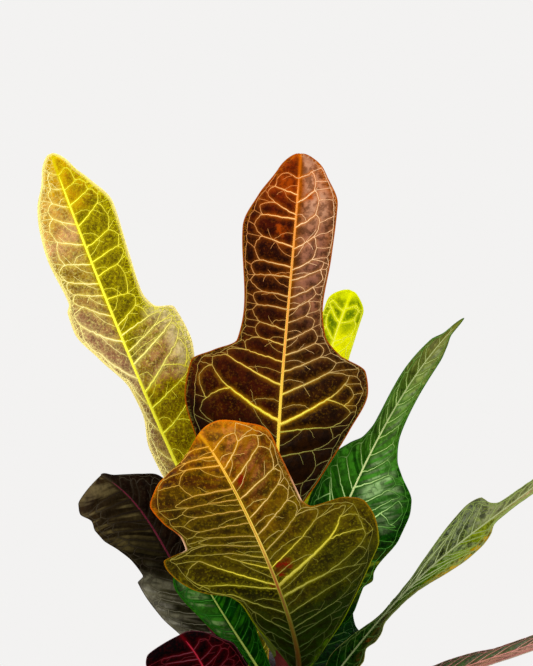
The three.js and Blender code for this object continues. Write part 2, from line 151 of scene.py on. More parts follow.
# Side veins by rule: shares of the blade, or of the pitch from one vein to the next, but tip_gap is
# in mm. A strong vein has a reach and a weight, and forks into arms of [rise, reach, weight].
RIB_RULE = {
    "first": 0.07, "tip_gap": 8, "shift": (-0.22, 0.22), "end_shift": (-0.1, 0.25),
    "reach": (0.56, 0.74), "weight": (0.75, 1.1), "strong": (0.55, 1.7),
    "arms": [[0.045, 0.78, 1.1], [-0.03, 0.77, 1.0]],
}

# The net between side veins. Loops: shares of the gap between two veins, but rise and furthest are of
# the half-width. Rim: mm, but end is of the blade and reach of the half-width. Twigs and veinlets:
# shares of the ribs beside them or of the gap, but from, least_gap, rise and bow are in mm.
RIB_BEND = ((0.25, 0.4), (0.5, 0.6))
LOOP = {"at": (0.4, 0.62), "rise": (0.07, 0.14), "furthest": 0.88, "lean": 0.3, "knee": 0.4}
RIM = {
    "from": 2.5, "lean": (-1.5, 2.5), "end": 0.985, "reach": 0.88, "least_spur": 1.1,
    "spur_bend": (-0.8, 0.8), "gap": (0.8, 18), "scallop": (0.3, 1.1),
}
TWIG = {"from": 5, "shift": (-0.1, 0.1), "bend": (0.3, 0.5), "length": (0.15, 0.3)}
VEINLET = {
    "share": 0.6, "at": (0.45, 0.75), "least_gap": 4.5, "length": (0.3, 0.5), "rise": (2.5, 5.0),
    "bow": 0.5,
}

# A side vein, by shares of the blade and of its half-width; origin is where an arm leaves its rib.
Rib = namedtuple("Rib", "start end reach weight origin", defaults=(1.0, 0.0))

# Surfaces of leaves: noises by scale, detail and roughness, cells by scale and sway, bumps by depth
# in metres and strength
CLOUD = (32, 3.0, 0.55)
MOTTLE = (260, 4, 0.65)
FLECKS = (760, 3, 0.65)
PATCHES = (95, 3, 0.6)
PATCH_SHADE = [0.25, 0.2, 0.25, 1.0]
WAVER = 0.25
NET_CELLS = (470, 0.0016)
NET_WALL = 0.13
BLADE_BUMP = (0.0008, 0.6)
VEIN_BUMP = (0.0003, 0.5)
VEIN_GRAIN = 500
BLADE_ROUGHNESS = (0.36, 0.5)
BLADE_SPECULAR = 0.03
VEIN_ROUGHNESS = 0.45
VEIN_SPECULAR = 0.1
VIVID = 1.1

# Leaves: foot height and bearing on the stem, three points of the midrib, the upper side's facing at
# base and tip, and half-widths as [share of the blade, mm] per side, as in the solids. The tip is
# rounded over tip mm, side veins lean by sweep, and the halves fold and curl by degrees at base and
# tip. ribs_left and ribs_right are side veins listed one by one, as in Rib. Others stand spacing mm
# apart, and veins maps the share where one leaves the midrib to the share where it forks. spots are
# [share of the blade, mm across, radius].
DEFAULT_LEAF = {
    "build": PLAIN, "tip": 12, "sweep": 0.25, "fold": [12, 8], "curl": [-10, -10], "wave": [0, 3, 0],
    "midrib_mm": [1.6, 0.4], "strong": [], "spots": [],
    "veins": [[0, 0.02], [0.4, 0.44], [0.8, 0.83], [1, 1]],
}
LEAVES = [
    {
        "build": FINE, "name": "leaf_upper_left", "look": "upper_left", "foot": 301, "bearing": 170,
        "midrib": [[-47, 26, 378], [-87, 34, 470], [-119, 36, 555]],
        "face": [[0.3, -1, 0.1], [0.3, -1, 0.1]], "petiole": 25, "tip": 10, "sweep": 0.3,
        "midrib_mm": [1.8, 0.6],
        "left": [[0, 1.5], [0.2, 7], [0.37, 10], [0.45, 5.7], [0.5, 6.5], [0.57, 15.7],
                 [0.63, 22.6], [0.67, 22], [0.69, 19.5], [0.78, 21.5], [0.84, 20], [0.89, 16.6],
                 [0.94, 10], [1, 4.5]],
        "right": [[0, 1.5], [0.2, 12], [0.35, 20], [0.45, 28], [0.52, 33.2], [0.59, 31.3],
                 [0.62, 21.7], [0.66, 18.5], [0.74, 19.8], [0.84, 21.5], [0.91, 14.4], [0.95, 9],
                 [1, 4.5]],
        "ribs_left": [[0.06, 0.07, 0.6], [0.12, 0.13, 0.6], [0.18, 0.19, 0.62], [0.24, 0.26, 0.6],
                      [0.29, 0.32, 0.62], [0.34, 0.37, 0.65], [0.4, 0.43, 0.6], [0.46, 0.52, 0.7],
                      [0.52, 0.58, 0.82, 1.2], [0.6, 0.643, 0.8, 1.1], [0.655, 0.68, 0.62],
                      [0.7, 0.706, 0.74, 0.8], [0.725, 0.733, 0.76], [0.767, 0.769, 0.64],
                      [0.808, 0.817, 0.63], [0.851, 0.866, 0.6], [0.887, 0.897, 0.52],
                      [0.925, 0.928, 0.55, 0.8], [0.955, 0.96, 0.5, 0.7]],
        "ribs_right": [[0.07, 0.08, 0.6], [0.13, 0.14, 0.62], [0.2, 0.21, 0.6], [0.27, 0.28, 0.64],
                       [0.33, 0.34, 0.6], [0.4, 0.405, 0.4, 1.5], [0.405, 0.42, 0.72, 1, 0.4],
                       [0.405, 0.385, 0.7, 0.9, 0.4], [0.455, 0.462, 0.66], [0.49, 0.51, 0.42, 1.6],
                       [0.51, 0.534, 0.8, 1.1, 0.42], [0.51, 0.479, 0.8, 1, 0.42],
                       [0.55, 0.569, 0.8, 1.2], [0.578, 0.586, 0.55, 0.8], [0.613, 0.609, 0.68],
                       [0.633, 0.644, 0.66, 0.8], [0.69, 0.674, 0.61], [0.74, 0.735, 0.6],
                       [0.77, 0.764, 0.77], [0.8, 0.803, 0.65], [0.846, 0.861, 0.66],
                       [0.89, 0.896, 0.7], [0.923, 0.926, 0.6, 0.8], [0.955, 0.96, 0.5, 0.7]],
    },
    {
        "build": FINE, "name": "leaf_upper_centre", "look": "upper_centre", "foot": 306, "bearing": -100,
        "midrib": [[-4, 8, 387], [1, 14, 468], [8, 10, 557]],
        "face": [[0, -1, 0], [0, -1, 0]], "petiole": 25, "tip": 10,
        "midrib_mm": [1.7, 0.5],
        "left": [[0, 1.5], [0.1, 8], [0.2, 24], [0.32, 43], [0.4, 49], [0.47, 47], [0.51, 36],
                 [0.55, 24.5], [0.62, 22.5], [0.8, 26.5], [0.88, 20], [0.95, 11], [1, 6]],
        "right": [[0, 1.5], [0.15, 7], [0.25, 22], [0.35, 36], [0.43, 44], [0.48, 42], [0.53, 28],
                  [0.58, 20], [0.65, 17.5], [0.75, 19.5], [0.87, 20.5], [0.94, 14], [1, 7]],
        "ribs_left": [[0.07, 0.07, 0.6], [0.12, 0.12, 0.62], [0.17, 0.17, 0.6], [0.22, 0.225, 0.64],
                      [0.27, 0.28, 0.62], [0.33, 0.35, 0.66], [0.4, 0.44, 0.54, 1.8],
                      [0.44, 0.476, 0.78, 1.1, 0.54], [0.44, 0.402, 0.77, 1.1, 0.54],
                      [0.48, 0.508, 0.78, 1.3], [0.532, 0.533, 0.7, 0.9], [0.571, 0.57, 0.56],
                      [0.604, 0.604, 0.61], [0.651, 0.64, 0.67], [0.68, 0.672, 0.59],
                      [0.722, 0.704, 0.75, 0.8], [0.745, 0.739, 0.64], [0.79, 0.793, 0.61],
                      [0.853, 0.841, 0.7], [0.863, 0.876, 0.55], [0.908, 0.912, 0.73],
                      [0.945, 0.95, 0.5, 0.7]],
        "ribs_right": [[0.07, 0.07, 0.6], [0.13, 0.13, 0.62], [0.19, 0.19, 0.6], [0.25, 0.25, 0.62],
                       [0.32, 0.319, 0.55], [0.375, 0.366, 0.68], [0.392, 0.431, 0.53, 1.8],
                       [0.431, 0.459, 0.73, 1.1, 0.53], [0.431, 0.41, 0.75, 1.1, 0.53],
                       [0.459, 0.492, 0.58, 1.2], [0.51, 0.531, 0.66, 0.9], [0.547, 0.564, 0.7],
                       [0.58, 0.599, 0.67], [0.62, 0.63, 0.52, 0.8], [0.648, 0.663, 0.56],
                       [0.676, 0.693, 0.63], [0.716, 0.73, 0.75, 0.8], [0.738, 0.756, 0.5],
                       [0.786, 0.807, 0.48], [0.834, 0.857, 0.48], [0.89, 0.911, 0.48],
                       [0.945, 0.955, 0.5, 0.7]],
        "spots": [[0.82, -7, 4], [0.93, -7, 5], [0.9, 6, 3]],
    },
    {
        "build": GOOD, "name": "leaf_young_back", "look": "young", "foot": 312, "bearing": 70,
        "midrib": [[7, 40, 364], [18, 62, 424], [36, 66, 481]],
        "face": [[0, -1, 0.1], [0, -1, 0.1]], "petiole": 20, "tip": 12,
        "left": [[0, 1.5], [0.2, 8], [0.5, 12], [0.8, 10], [0.93, 10.5], [1, 7]],
        "right": [[0, 1.5], [0.2, 7], [0.5, 10], [0.8, 10.5], [0.93, 10], [1, 6]],
        "spacing": 9,
    },
    {
        "build": FINE, "name": "leaf_right_pointed", "look": "pointed", "foot": 284, "bearing": 15,
        "midrib": [[21, 14, 349], [52, 18, 419], [90, 4, 475]],
        "face": [[0.5, -0.8, 0], [-0.2, -0.9, 0.2]], "petiole": 28, "tip": 8,
        "left": [[0, 1.5], [0.1, 9], [0.2, 15], [0.34, 20.5], [0.42, 18.7], [0.46, 18],
                 [0.52, 12.3], [0.56, 7.3], [0.61, 5.5], [0.77, 6.7], [0.88, 5], [0.93, 2],
                 [1, 0.9]],
        "right": [[0, 1.5], [0.04, 22], [0.08, 23.8], [0.14, 24], [0.165, 27.5], [0.19, 26.5],
                 [0.3, 32.1], [0.36, 32.2], [0.42, 29.7], [0.49, 19.4], [0.53, 14.1], [0.61, 9.2],
                 [0.72, 7.3], [0.85, 6], [0.9, 3.9], [0.94, 1.5], [1, 0.9]],
        "spacing": 9.5, "strong": [0.28], "midrib_mm": [0.9, 0.3],
        "veins": [[0, 0.02], [0.28, 0.37], [0.45, 0.5], [0.7, 0.74], [1, 1]],
    },
    {
        "build": GOOD, "name": "leaf_far_right", "look": "sage", "foot": 259, "bearing": -20,
        "midrib": [[54, -20, 333], [92, -35, 373], [148, -45, 420]],
        "face": [[-0.56, -0.42, 0.71], [-0.56, -0.42, 0.71]], "petiole": 28, "tip": 8,
        "left": [[0, 1.5], [0.08, 12], [0.16, 9], [0.3, 2.5], [0.4, 3.9], [0.46, 7.9], [0.57, 16.3],
                 [0.62, 18.6], [0.66, 17], [0.69, 9.5], [0.72, 6], [0.8, 5], [1, 2]],
        "right": [[0, 1.5], [0.08, 14], [0.17, 17], [0.2, 9.5], [0.235, 13], [0.26, 12], [0.29, 6],
                 [0.39, 7.8], [0.52, 15.7], [0.57, 17.1], [0.62, 15.8], [0.66, 11.6], [0.69, 4.5],
                 [0.76, 3.5], [0.85, 5], [1, 2]],
        "spacing": 9, "strong": [0.42],
        "veins": [[0, 0.03], [0.3, 0.33], [0.42, 0.54], [0.55, 0.61], [0.7, 0.73], [1, 1]],
    },
    {
        "build": GOOD, "name": "leaf_low_right", "look": "rosy", "foot": 241, "bearing": -15,
        "midrib": [[58, -15, 286], [108, -25, 309], [158, -35, 333]],
        "face": [[-0.39, 0.08, 0.92], [-0.39, 0.08, 0.92]], "petiole": 25, "fold": [6, 4],
        "left": [[0, 1.5], [0.2, 20], [0.38, 28], [0.5, 24], [0.6, 17], [0.8, 18], [0.93, 14],
                 [1, 6]],
        "right": [[0, 1.5], [0.2, 20], [0.38, 28], [0.5, 24], [0.6, 17], [0.8, 18], [0.93, 14],
                  [1, 6]],
        "spacing": 9,
    },
    {
        "build": FINE, "name": "leaf_front_turned", "look": "front", "foot": 288, "bearing": -85,
        "midrib": [[4, -54, 328], [-18, -82, 392], [-41, -80, 431]],
        "face": [[0, 1, 0], [0, 1, 0]], "petiole": 18, "tip": 6,
        "midrib_mm": [1.7, 0.5],
        "left": [[0, 1.5], [0.06, 3.5], [0.18, 14], [0.25, 25], [0.32, 35.5], [0.39, 47],
                 [0.43, 53.3], [0.5, 55.5], [0.55, 54], [0.595, 46], [0.635, 29], [0.67, 26.5],
                 [0.8, 27], [0.86, 28], [0.93, 19], [1, 6]],
        "right": [[0, 1.5], [0.1, 4], [0.2, 9.5], [0.34, 17.5], [0.42, 20], [0.455, 24],
                 [0.475, 33], [0.5, 39], [0.56, 45], [0.6, 46.5], [0.625, 46], [0.65, 34],
                 [0.69, 33.5], [0.76, 38], [0.82, 39.5], [0.88, 34], [0.95, 24], [1, 8]],
        "ribs_left": [[0.06, 0.07, 0.6, 0.6], [0.12, 0.13, 0.6, 0.7], [0.18, 0.19, 0.6, 0.8],
                      [0.235, 0.245, 0.62, 0.8], [0.285, 0.297, 0.62, 0.8], [0.321, 0.329, 0.65, 0.9],
                      [0.38, 0.385, 0.7, 0.7], [0.445, 0.431, 0.44, 1.8],
                      [0.431, 0.45, 0.79, 1, 0.44], [0.431, 0.405, 0.75, 0.9, 0.44],
                      [0.488, 0.52, 0.57, 2.3], [0.52, 0.557, 0.75, 1.5, 0.57],
                      [0.52, 0.488, 0.87, 1, 0.57], [0.552, 0.593, 0.62, 0.8],
                      [0.607, 0.638, 0.72, 0.8], [0.663, 0.69, 0.75, 0.8], [0.719, 0.743, 0.73, 0.8],
                      [0.782, 0.785, 0.77, 0.9], [0.832, 0.857, 0.7, 0.9], [0.878, 0.904, 0.55, 0.9],
                      [0.936, 0.938, 0.45, 0.8]],
        "ribs_right": [[0.05, 0.06, 0.6, 0.6], [0.11, 0.13, 0.6, 0.7], [0.18, 0.21, 0.62, 0.8],
                       [0.25, 0.3, 0.66, 0.8], [0.31, 0.387, 0.79, 0.9], [0.385, 0.462, 0.82, 0.9],
                       [0.478, 0.503, 0.57, 0.75], [0.503, 0.51, 0.84, 0.8, 0.57], [0.492, 0.603, 0.66, 1.1],
                       [0.551, 0.608, 0.4, 0.7], [0.591, 0.614, 0.3, 0.7], [0.63, 0.654, 0.69, 0.7],
                       [0.664, 0.676, 0.59, 0.7], [0.707, 0.702, 0.71, 0.7], [0.749, 0.751, 0.58, 0.8],
                       [0.785, 0.787, 0.6, 0.6], [0.819, 0.82, 0.48, 1.1], [0.892, 0.91, 0.5, 0.9],
                       [0.922, 0.934, 0.5, 0.8], [0.953, 0.966, 0.4, 0.7]],
        "spots": [[0.53, -5, 6], [0.82, -5, 3.5], [0.49, 2, 2]],
    },
    {
        "build": FINE, "name": "leaf_left_dark", "look": "dusk", "foot": 265, "bearing": -145,
        "midrib": [[-43, -32, 335], [-65, -52, 381], [-88, -68, 409]],
        "face": [[0.15, -0.8, 0.5], [0, -0.8, 0.5]], "petiole": 30, "tip": 4, "sweep": 0.6,
        "left": [[0, 1.5], [0.15, 10], [0.29, 15.9], [0.37, 19.5], [0.48, 21.2], [0.52, 21.1],
                 [0.545, 17], [0.61, 18], [0.67, 20.8], [0.76, 25.1], [0.83, 25.6], [0.89, 23.3],
                 [0.93, 23.7], [0.97, 19.7], [1, 14]],
        "right": [[0, 1.5], [0.15, 18], [0.35, 26], [0.55, 24], [0.77, 18.2], [0.84, 12.3],
                 [0.9, 7.1], [0.96, 2.8], [1, 1.5]],
        "spacing": 7,
    },
    {
        "build": GOOD, "name": "leaf_low_left", "look": "low_left", "foot": 236, "bearing": -120,
        "midrib": [[-31, -45, 292], [-41, -66, 317], [-50, -80, 334]],
        "face": [[0, -1, 0.1], [0, -1, 0.1]], "petiole": 25, "tip": 5, "sweep": 0.45,
        "left": [[0, 1.5], [0.2, 10], [0.5, 20], [0.8, 24], [0.9, 22], [0.96, 18.2], [1, 13]],
        "right": [[0, 1.5], [0.2, 10], [0.5, 20], [0.73, 19.1], [0.82, 14.4], [0.9, 10.1],
                 [0.97, 5.1], [1, 3]],
        "spacing": 8,
    },
    {
        "build": GOOD, "name": "leaf_left_green", "look": "green", "foot": 276, "bearing": -115,
        "midrib_mm": [1.1, 0.35],
        "midrib": [[-17, -34, 311], [-32, -48, 339], [-46, -52, 366]],
        "face": [[0, -0.9, 0.4], [0, -0.9, 0.4]], "petiole": 20,
        "left": [[0, 1.5], [0.06, 12], [0.13, 11], [0.27, 3], [0.45, 3.2], [0.54, 7.9],
                 [0.69, 11.2], [0.85, 14.2], [0.92, 12.7], [1, 5]],
        "right": [[0, 1.5], [0.1, 5], [0.4, 9], [0.65, 14], [0.8, 12], [1, 5]],
        "spacing": 9,
    },
    {
        "name": "leaf_back_centre", "look": "green", "foot": 293, "bearing": 100,
        "midrib": [[-7, 50, 319], [-11, 90, 364], [-14, 115, 419]],
        "face": [[0, -0.8, 0.6], [0, -0.8, 0.6]], "petiole": 28, "tip": 10,
        "left": [[0, 1.5], [0.2, 14], [0.4, 24], [0.52, 20], [0.6, 13], [0.8, 16], [0.92, 12],
                 [1, 5]],
        "right": [[0, 1.5], [0.2, 14], [0.38, 24], [0.5, 22], [0.6, 13], [0.8, 15], [0.92, 12],
                  [1, 5]],
        "spacing": 9, "strong": [0.3],
    },
    {
        "name": "leaf_back_right", "look": "shadow", "foot": 269, "bearing": 65,
        "midrib": [[11, 50, 286], [21, 85, 310], [30, 110, 335]],
        "face": [[-0.1, -0.7, 0.7], [-0.1, -0.7, 0.7]], "petiole": 28, "tip": 10,
        "left": [[0, 1.5], [0.2, 10], [0.45, 16], [0.6, 12], [0.8, 14], [0.92, 11], [1, 5]],
        "right": [[0, 1.5], [0.1, 14], [0.25, 27], [0.33, 27], [0.42, 22.3], [0.5, 19.5],
                  [0.6, 17.4], [0.8, 13], [0.92, 10], [1, 5]],
        "spacing": 9,
    },
    {
        "name": "leaf_back_left", "look": "olive", "foot": 258, "bearing": 125,
        "midrib": [[-18, 50, 289], [-30, 85, 321], [-41, 105, 350]],
        "face": [[0.1, -0.7, 0.7], [0.1, -0.7, 0.7]], "petiole": 28, "tip": 10,
        "left": [[0, 1.5], [0.2, 10], [0.45, 18], [0.6, 12], [0.8, 14], [0.92, 11], [1, 5]],
        "right": [[0, 1.5], [0.2, 10], [0.45, 18], [0.6, 12], [0.8, 13], [0.92, 10], [1, 5]],
        "spacing": 9,
    },
    {
        "name": "leaf_back_low", "look": "crimson", "foot": 249, "bearing": 90,
        "midrib": [[1, 60, 273], [4, 110, 289], [8, 150, 301]],
        "face": [[0, -0.3, 1], [0, -0.3, 1]], "petiole": 28, "tip": 10,
        "left": [[0, 1.5], [0.2, 14], [0.4, 28], [0.5, 24], [0.6, 15], [0.8, 18], [0.92, 14],
                 [1, 6]],
        "right": [[0, 1.5], [0.2, 14], [0.38, 28], [0.5, 25], [0.6, 15], [0.8, 17], [0.92, 13],
                  [1, 6]],
        "spacing": 10, "strong": [0.28],
    },
]

# The skirt of older leaves winds round the stem by the rule of the solids.
SKIRT = {
    "count": 18, "seed": 100, "foot": (166, 226), "first": 35, "turn": 137.5, "length": (186, 158),
    "rise": (22, 40), "droop": (-46, -20), "roll": 0.22, "petiole": 34,
    "looks": ["crimson", "green", "bronze", "green", "olive"],
    "lobed": [[0, 1.5], [0.12, 12], [0.28, 33], [0.38, 40], [0.47, 36], [0.56, 21], [0.72, 22],
              [0.86, 19], [0.94, 13], [1, 5]],
    "plain": [[0, 1.5], [0.15, 13], [0.4, 28], [0.62, 32], [0.8, 27], [0.92, 17], [1, 5]],
    "veins": [[0, 0.02], [0.26, 0.37], [0.42, 0.47], [0.6, 0.63], [1, 1]],
}

# Looks of leaves. A colour is sRGB, for the whole leaf or as [share of the blade, colour] stops.
# left, right: the colour on each side of the midrib, the tissue's own with painted sheen on a half that
# faces the light. Without right, both are left.
# rib, core, vein, net: the midrib, its crest, the side veins and the finest net, which fades into the
#   glow by net_fade. Its walls show by beads at the margin, and by cells from beads_mm inwards.
# glow: tissue beside veins, by glow_share and as far as glow_mm, and flecks elsewhere, by fleck
# shade, patch: how dark the small mottles are, and how far the wide patches show
# sheen_and_tints: painted sheen as pale areas, and a few tints of the leaf's own colour, as colour, share,
# start and end along the blade, start and end across (-1 to 1)
# sheen_streak: painted sheen in streaks beside the side veins, by streaky, at streak_pitch, on the half
# streak_side (0: both)
# wash: a stain from the margin, as colour, share, width in mm and where it starts along the blade
# pale: veins, net and glow of the half pale_side, by pale_share, from the share pale_from on
# margin, under, stalk, spot: the edge line margin_mm wide, the underside by under_share, the stalk
#   (without it, the glow), and the leaf's spots
# quilt, twigs: mm that the tissue swells between veins, and how many of the thin veins there are
LOOKS = {
    "upper_left": {
        "slot": "leaf_yellow", "shade": 0.35, "patch": 0.3, "beads": 0.7, "beads_mm": 6.0, "cells": 0.14,
        "glow_mm": 1.2, "glow_share": 0.6, "margin_mm": 2.4, "pale_side": -1, "pale_share": 0.85,
        "core": "#f0ec34", "net": "#dcd43c", "pale": "#faeba8", "margin": "#fbea98", "under": "#a9a548",
        "stalk": "#3c4c10",
        "left": [[0, "#86763a"], [0.35, "#98784c"], [0.58, "#906850"], [0.74, "#907030"], [0.84, "#c49468"],
                 [0.92, "#bc903c"], [1, "#c8a024"]],
        "right": [[0, "#6c5a08"], [0.42, "#6c560c"], [0.54, "#84642a"], [0.62, "#645604"],
                  [0.84, "#6c5a02"], [0.92, "#b08008"], [1, "#c89c10"]],
        "sheen_and_tints": [["#a8785c", 0.75, 0.48, 0.62, 0.1, 0.9], ["#e8dca8", 0.7, 0.5, 0.63, 0.62, 1.4],
                  ["#7c5060", 0.65, 0.34, 0.45, -1.6, -0.5]],
        "rib": [[0, "#e4e028"], [1, "#f6f046"]],
        "vein": [[0, "#dcd83c"], [0.48, "#e0dc3c"], [0.53, "#f4e880"], [0.6, "#f4e880"], [0.66, "#f0e83c"]],
        "glow": [[0, "#c8bc14"], [0.48, "#c8bc14"], [0.53, "#e0d480"], [0.6, "#e0d480"], [0.66, "#c8bc14"]],
    },
    "upper_centre": {
        "slot": "leaf_bronze", "shade": 0.5, "fleck": 0.1, "beads": 0.35, "beads_mm": 3.0, "net_fade": 0.35,
        "glow_mm": 1.1, "glow_share": 0.6, "margin_mm": 1.1, "pale_side": 1, "pale_share": 0.7,
        "pale_from": 0.42,
        "margin": "#9a4c18", "under": "#5d2f22", "stalk": "#1c1c08", "spot": "#943c10",
        "left": [[0, "#0c0802"], [0.3, "#180802"], [0.45, "#380f02"], [0.72, "#260902"], [0.86, "#3c0e04"],
                 [0.93, "#742408"], [1, "#b04c18"]],
        "right": [[0, "#0c0802"], [0.3, "#1a0b02"], [0.46, "#2a1203"], [0.58, "#34180a"], [0.66, "#48240c"],
                  [0.85, "#744428"], [0.96, "#984a1c"], [1, "#a8501c"]],
        "sheen_and_tints": [["#a0705c", 0.75, 0.62, 0.86, 0.15, 0.9], ["#b89078", 0.85, 0.86, 0.98, 0.15, 0.9]],
        "rib": [[0, "#f0e030"], [0.4, "#f0d44c"], [0.7, "#f4cc54"], [0.85, "#f0b044"], [1, "#ec9a38"]],
        "core": [[0, "#ece034"], [0.42, "#e8c03c"], [0.58, "#dc8438"], [1, "#d87434"]],
        "vein": [[0, "#4c4828"], [0.28, "#706c34"], [0.36, "#98943c"], [0.41, "#e4d43c"], [0.52, "#d8b84c"],
                 [0.65, "#c09c60"], [0.85, "#ecb870"], [1, "#f4bc7c"]],
        "net": [[0, "#4c4824"], [0.3, "#7c783c"], [0.5, "#a08840"], [0.75, "#b88044"], [1, "#c87838"]],
        "glow": [[0, "#1c1002"], [0.3, "#341c04"], [0.37, "#5c3c0c"], [0.42, "#c08c34"], [0.55, "#8c541c"],
                 [0.8, "#b8642c"], [1, "#cc6824"]],
        "pale": [[0.44, "#a89868"], [0.6, "#c8a474"], [0.75, "#f4d0a4"], [1, "#fcd8ac"]],
    },
    "young": {
        "slot": "leaf_yellow", "shade": 0.2, "beads": 0.15, "glow_mm": 1.7, "glow_share": 0.9,
        "margin_mm": 1.8,
        "net": "#f2f448", "glow": "#f4f840", "margin": "#e9f048", "under": "#d4e250", "stalk": "#3c5c10",
        "left": [[0, "#3c5c10"], [0.3, "#8ca020"], [0.55, "#fefe54"], [0.79, "#fcfe4c"], [0.84, "#4c7008"],
                 [0.95, "#48680a"], [1, "#dce83c"]],
        "right": [[0, "#3c5c10"], [0.3, "#8ca020"], [0.55, "#fefe54"], [0.84, "#fcfe4c"], [0.88, "#507408"],
                  [0.95, "#507408"], [1, "#dce83c"]],
        "rib": [[0, "#5c7414"], [0.3, "#a8b430"], [0.55, "#fefe60"], [1, "#fafa58"]],
        "core": [[0, "#5c7414"], [0.3, "#a8b430"], [0.55, "#f8f850"]],
        "vein": [[0, "#fcfc5c"], [1, "#f8f850"]],
    },
    "pointed": {
        "slot": "leaf_green", "shade": 0.5, "fleck": 0.1, "twigs": 0.25, "beads": 0.06, "net_fade": 0.6,
        "glow_mm": 1.0, "glow_share": 0.4, "margin_mm": 0.7, "streaky": 0.75, "streak_pitch": 0.02,
        "net": "#3c7420", "margin": "#2a5216", "under": "#5f8050",
        "left": [[0, "#021002"], [0.18, "#032002"], [0.34, "#082c05"], [0.48, "#1c4c10"], [0.66, "#2c4014"],
                 [1, "#5c5428"]],
        "right": [[0, "#010a01"], [0.2, "#021402"], [0.34, "#042003"], [0.46, "#0e3a08"], [0.6, "#305614"],
                  [1, "#6c6434"]],
        "sheen_streak": [[0, "#061c02"], [0.2, "#093006"], [0.34, "#12440c"], [0.5, "#4c8c34"], [0.75, "#849450"],
                   [1, "#8c8458"]],
        "sheen_and_tints": [["#9cbc80", 0.85, 0.34, 0.55, 0.1, 0.85], ["#94a078", 0.7, 0.6, 0.92, 0.05, 0.8],
                  ["#8c9c38", 0.85, 0.15, 0.24, 0.6, 1.6]],
        "rib": [[0, "#b8cc68"], [0.5, "#dce8a4"], [0.7, "#a8b47c"], [1, "#b4a46c"]],
        "core": [[0, "#c8d48c"], [0.5, "#c8d48c"], [0.7, "#909c64"]],
        "vein": [[0, "#3c7c1c"], [0.25, "#c0e08c"], [0.4, "#b8d888"], [0.6, "#a8c070"], [1, "#a0a068"]],
        "glow": [[0, "#0c3404"], [0.3, "#4c8c30"], [0.5, "#4c7c2c"], [1, "#6c7c34"]],
    },
    "sage": {
        "slot": "leaf_green", "shade": 0.75, "twigs": 0.3, "beads": 0.1, "net_fade": 0.7, "glow_mm": 0.9,
        "glow_share": 0.35, "margin_mm": 0.6, "streaky": 0.6,
        "core": "#98a070", "margin": "#84884c", "under": "#70805a",
        "left": [[0, "#021c02"], [0.2, "#082804"], [0.34, "#2c3620"], [0.6, "#343c22"], [0.72, "#5c5e40"],
                 [1, "#6c6c48"]],
        "right": [[0, "#021c02"], [0.2, "#0c3806"], [0.3, "#4a4020"], [0.42, "#4c7014"], [0.6, "#6c7c20"],
                  [1, "#8c6c50"]],
        "sheen_streak": [[0, "#0c380a"], [0.22, "#1c4810"], [0.4, "#7c8868"], [1, "#98986c"]],
        "sheen_and_tints": [["#8c947c", 0.45, 0.4, 0.75, -1, -0.3], ["#2c6414", 0.9, 0.36, 0.56, 0.1, 0.75],
                  ["#e09434", 0.95, 0.4, 0.7, 0.74, 1.6], ["#d0a894", 0.8, 0.74, 1.2, 0.1, 1.4],
                  ["#8c4c2c", 0.8, 0.16, 0.3, 0.3, 1.4]],
        "rib": [[0, "#2c5014"], [0.2, "#4c7424"], [0.4, "#a8b48c"], [0.56, "#8c9468"], [1, "#b0a080"]],
        "vein": [[0, "#1c4810"], [0.2, "#3c6820"], [0.4, "#b0bc88"], [0.6, "#889068"], [1, "#98986c"]],
        "net": [[0, "#1c4810"], [0.3, "#5c7038"], [1, "#6c7c44"]],
        "glow": [[0, "#0c380a"], [0.3, "#5c7030"], [0.5, "#8c9c4c"]],
    },
    "rosy": {
        "slot": "leaf_green", "shade": 0.6, "twigs": 0.2, "beads": 0.2, "glow_mm": 1.2, "glow_share": 0.5,
        "margin_mm": 1.2,
        "core": "#c87870", "net": "#a0605c", "glow": "#8c5048", "margin": "#a0907c", "under": "#6c6450",
        "left": [[0, "#102c08"], [0.4, "#2c4c1c"], [0.8, "#4c5c38"], [1, "#64604c"]],
        "right": [[0, "#14280a"], [0.35, "#4c4428"], [0.6, "#98745c"], [0.8, "#b88c7c"], [1, "#b48c7c"]],
        "rib": [[0, "#a07848"], [1, "#d89088"]],
        "vein": [[0, "#98684c"], [1, "#cc8c80"]],
    },
    "front": {
        "slot": "leaf_olive", "shade": 0.55, "patch": 0.6, "fleck": 0.3, "twigs": 0.85, "beads": 0.25,
        "beads_mm": 3.0, "net_fade": 0.6, "under_share": 0.05, "glow_mm": 1.0, "glow_share": 0.65,
        "margin_mm": 1.1, "streaky": 0.35, "pale_side": -1, "pale_share": 0.6, "pale_from": 0.62,
        "pale": "#e8c47c", "under": "#5d4a0a", "stalk": "#6c3408", "spot": "#6c0408",
        "left": [[0, "#011c02"], [0.24, "#032002"], [0.36, "#102202"], [0.44, "#2c2c05"], [0.54, "#463a07"],
                 [0.72, "#583208"], [0.8, "#602a06"], [0.9, "#7c400a"], [1, "#a45c14"]],
        "right": [[0, "#011c02"], [0.24, "#062002"], [0.44, "#181e03"], [0.6, "#342a05"], [0.78, "#301a02"],
                  [0.9, "#421c03"], [0.98, "#6c3408"], [1, "#8c4c10"]],
        "sheen_streak": [[0, "#032001"], [0.32, "#142404"], [0.5, "#544808"], [1, "#6c5408"]],
        "sheen_and_tints": [["#a0684c", 0.5, 0.7, 0.9, -0.8, -0.15], ["#c08860", 0.45, 0.88, 1.1, -1.4, 0.2],
                  ["#6c9430", 0.9, -0.1, 0.2, -1.6, -0.65]],
        "wash": ["#b4601c", 0.8, 5.5, 0.82],
        "rib": [[0, "#3c2008"], [0.2, "#483808"], [0.32, "#504c10"], [0.44, "#7c7820"], [0.54, "#b8a43c"],
                [0.64, "#ecd05c"], [0.76, "#f4d84c"], [0.84, "#fce048"], [0.92, "#f0bc40"], [1, "#e0a028"]],
        "core": [[0, "#4c2408"], [0.2, "#50300c"], [0.34, "#5c440c"], [0.44, "#6c441c"], [0.5, "#842414"],
                 [0.56, "#8c5420"], [0.64, "#b87c28"], [0.76, "#b87828"], [0.82, "#a45420"],
                 [0.9, "#d89430"], [1, "#e09820"]],
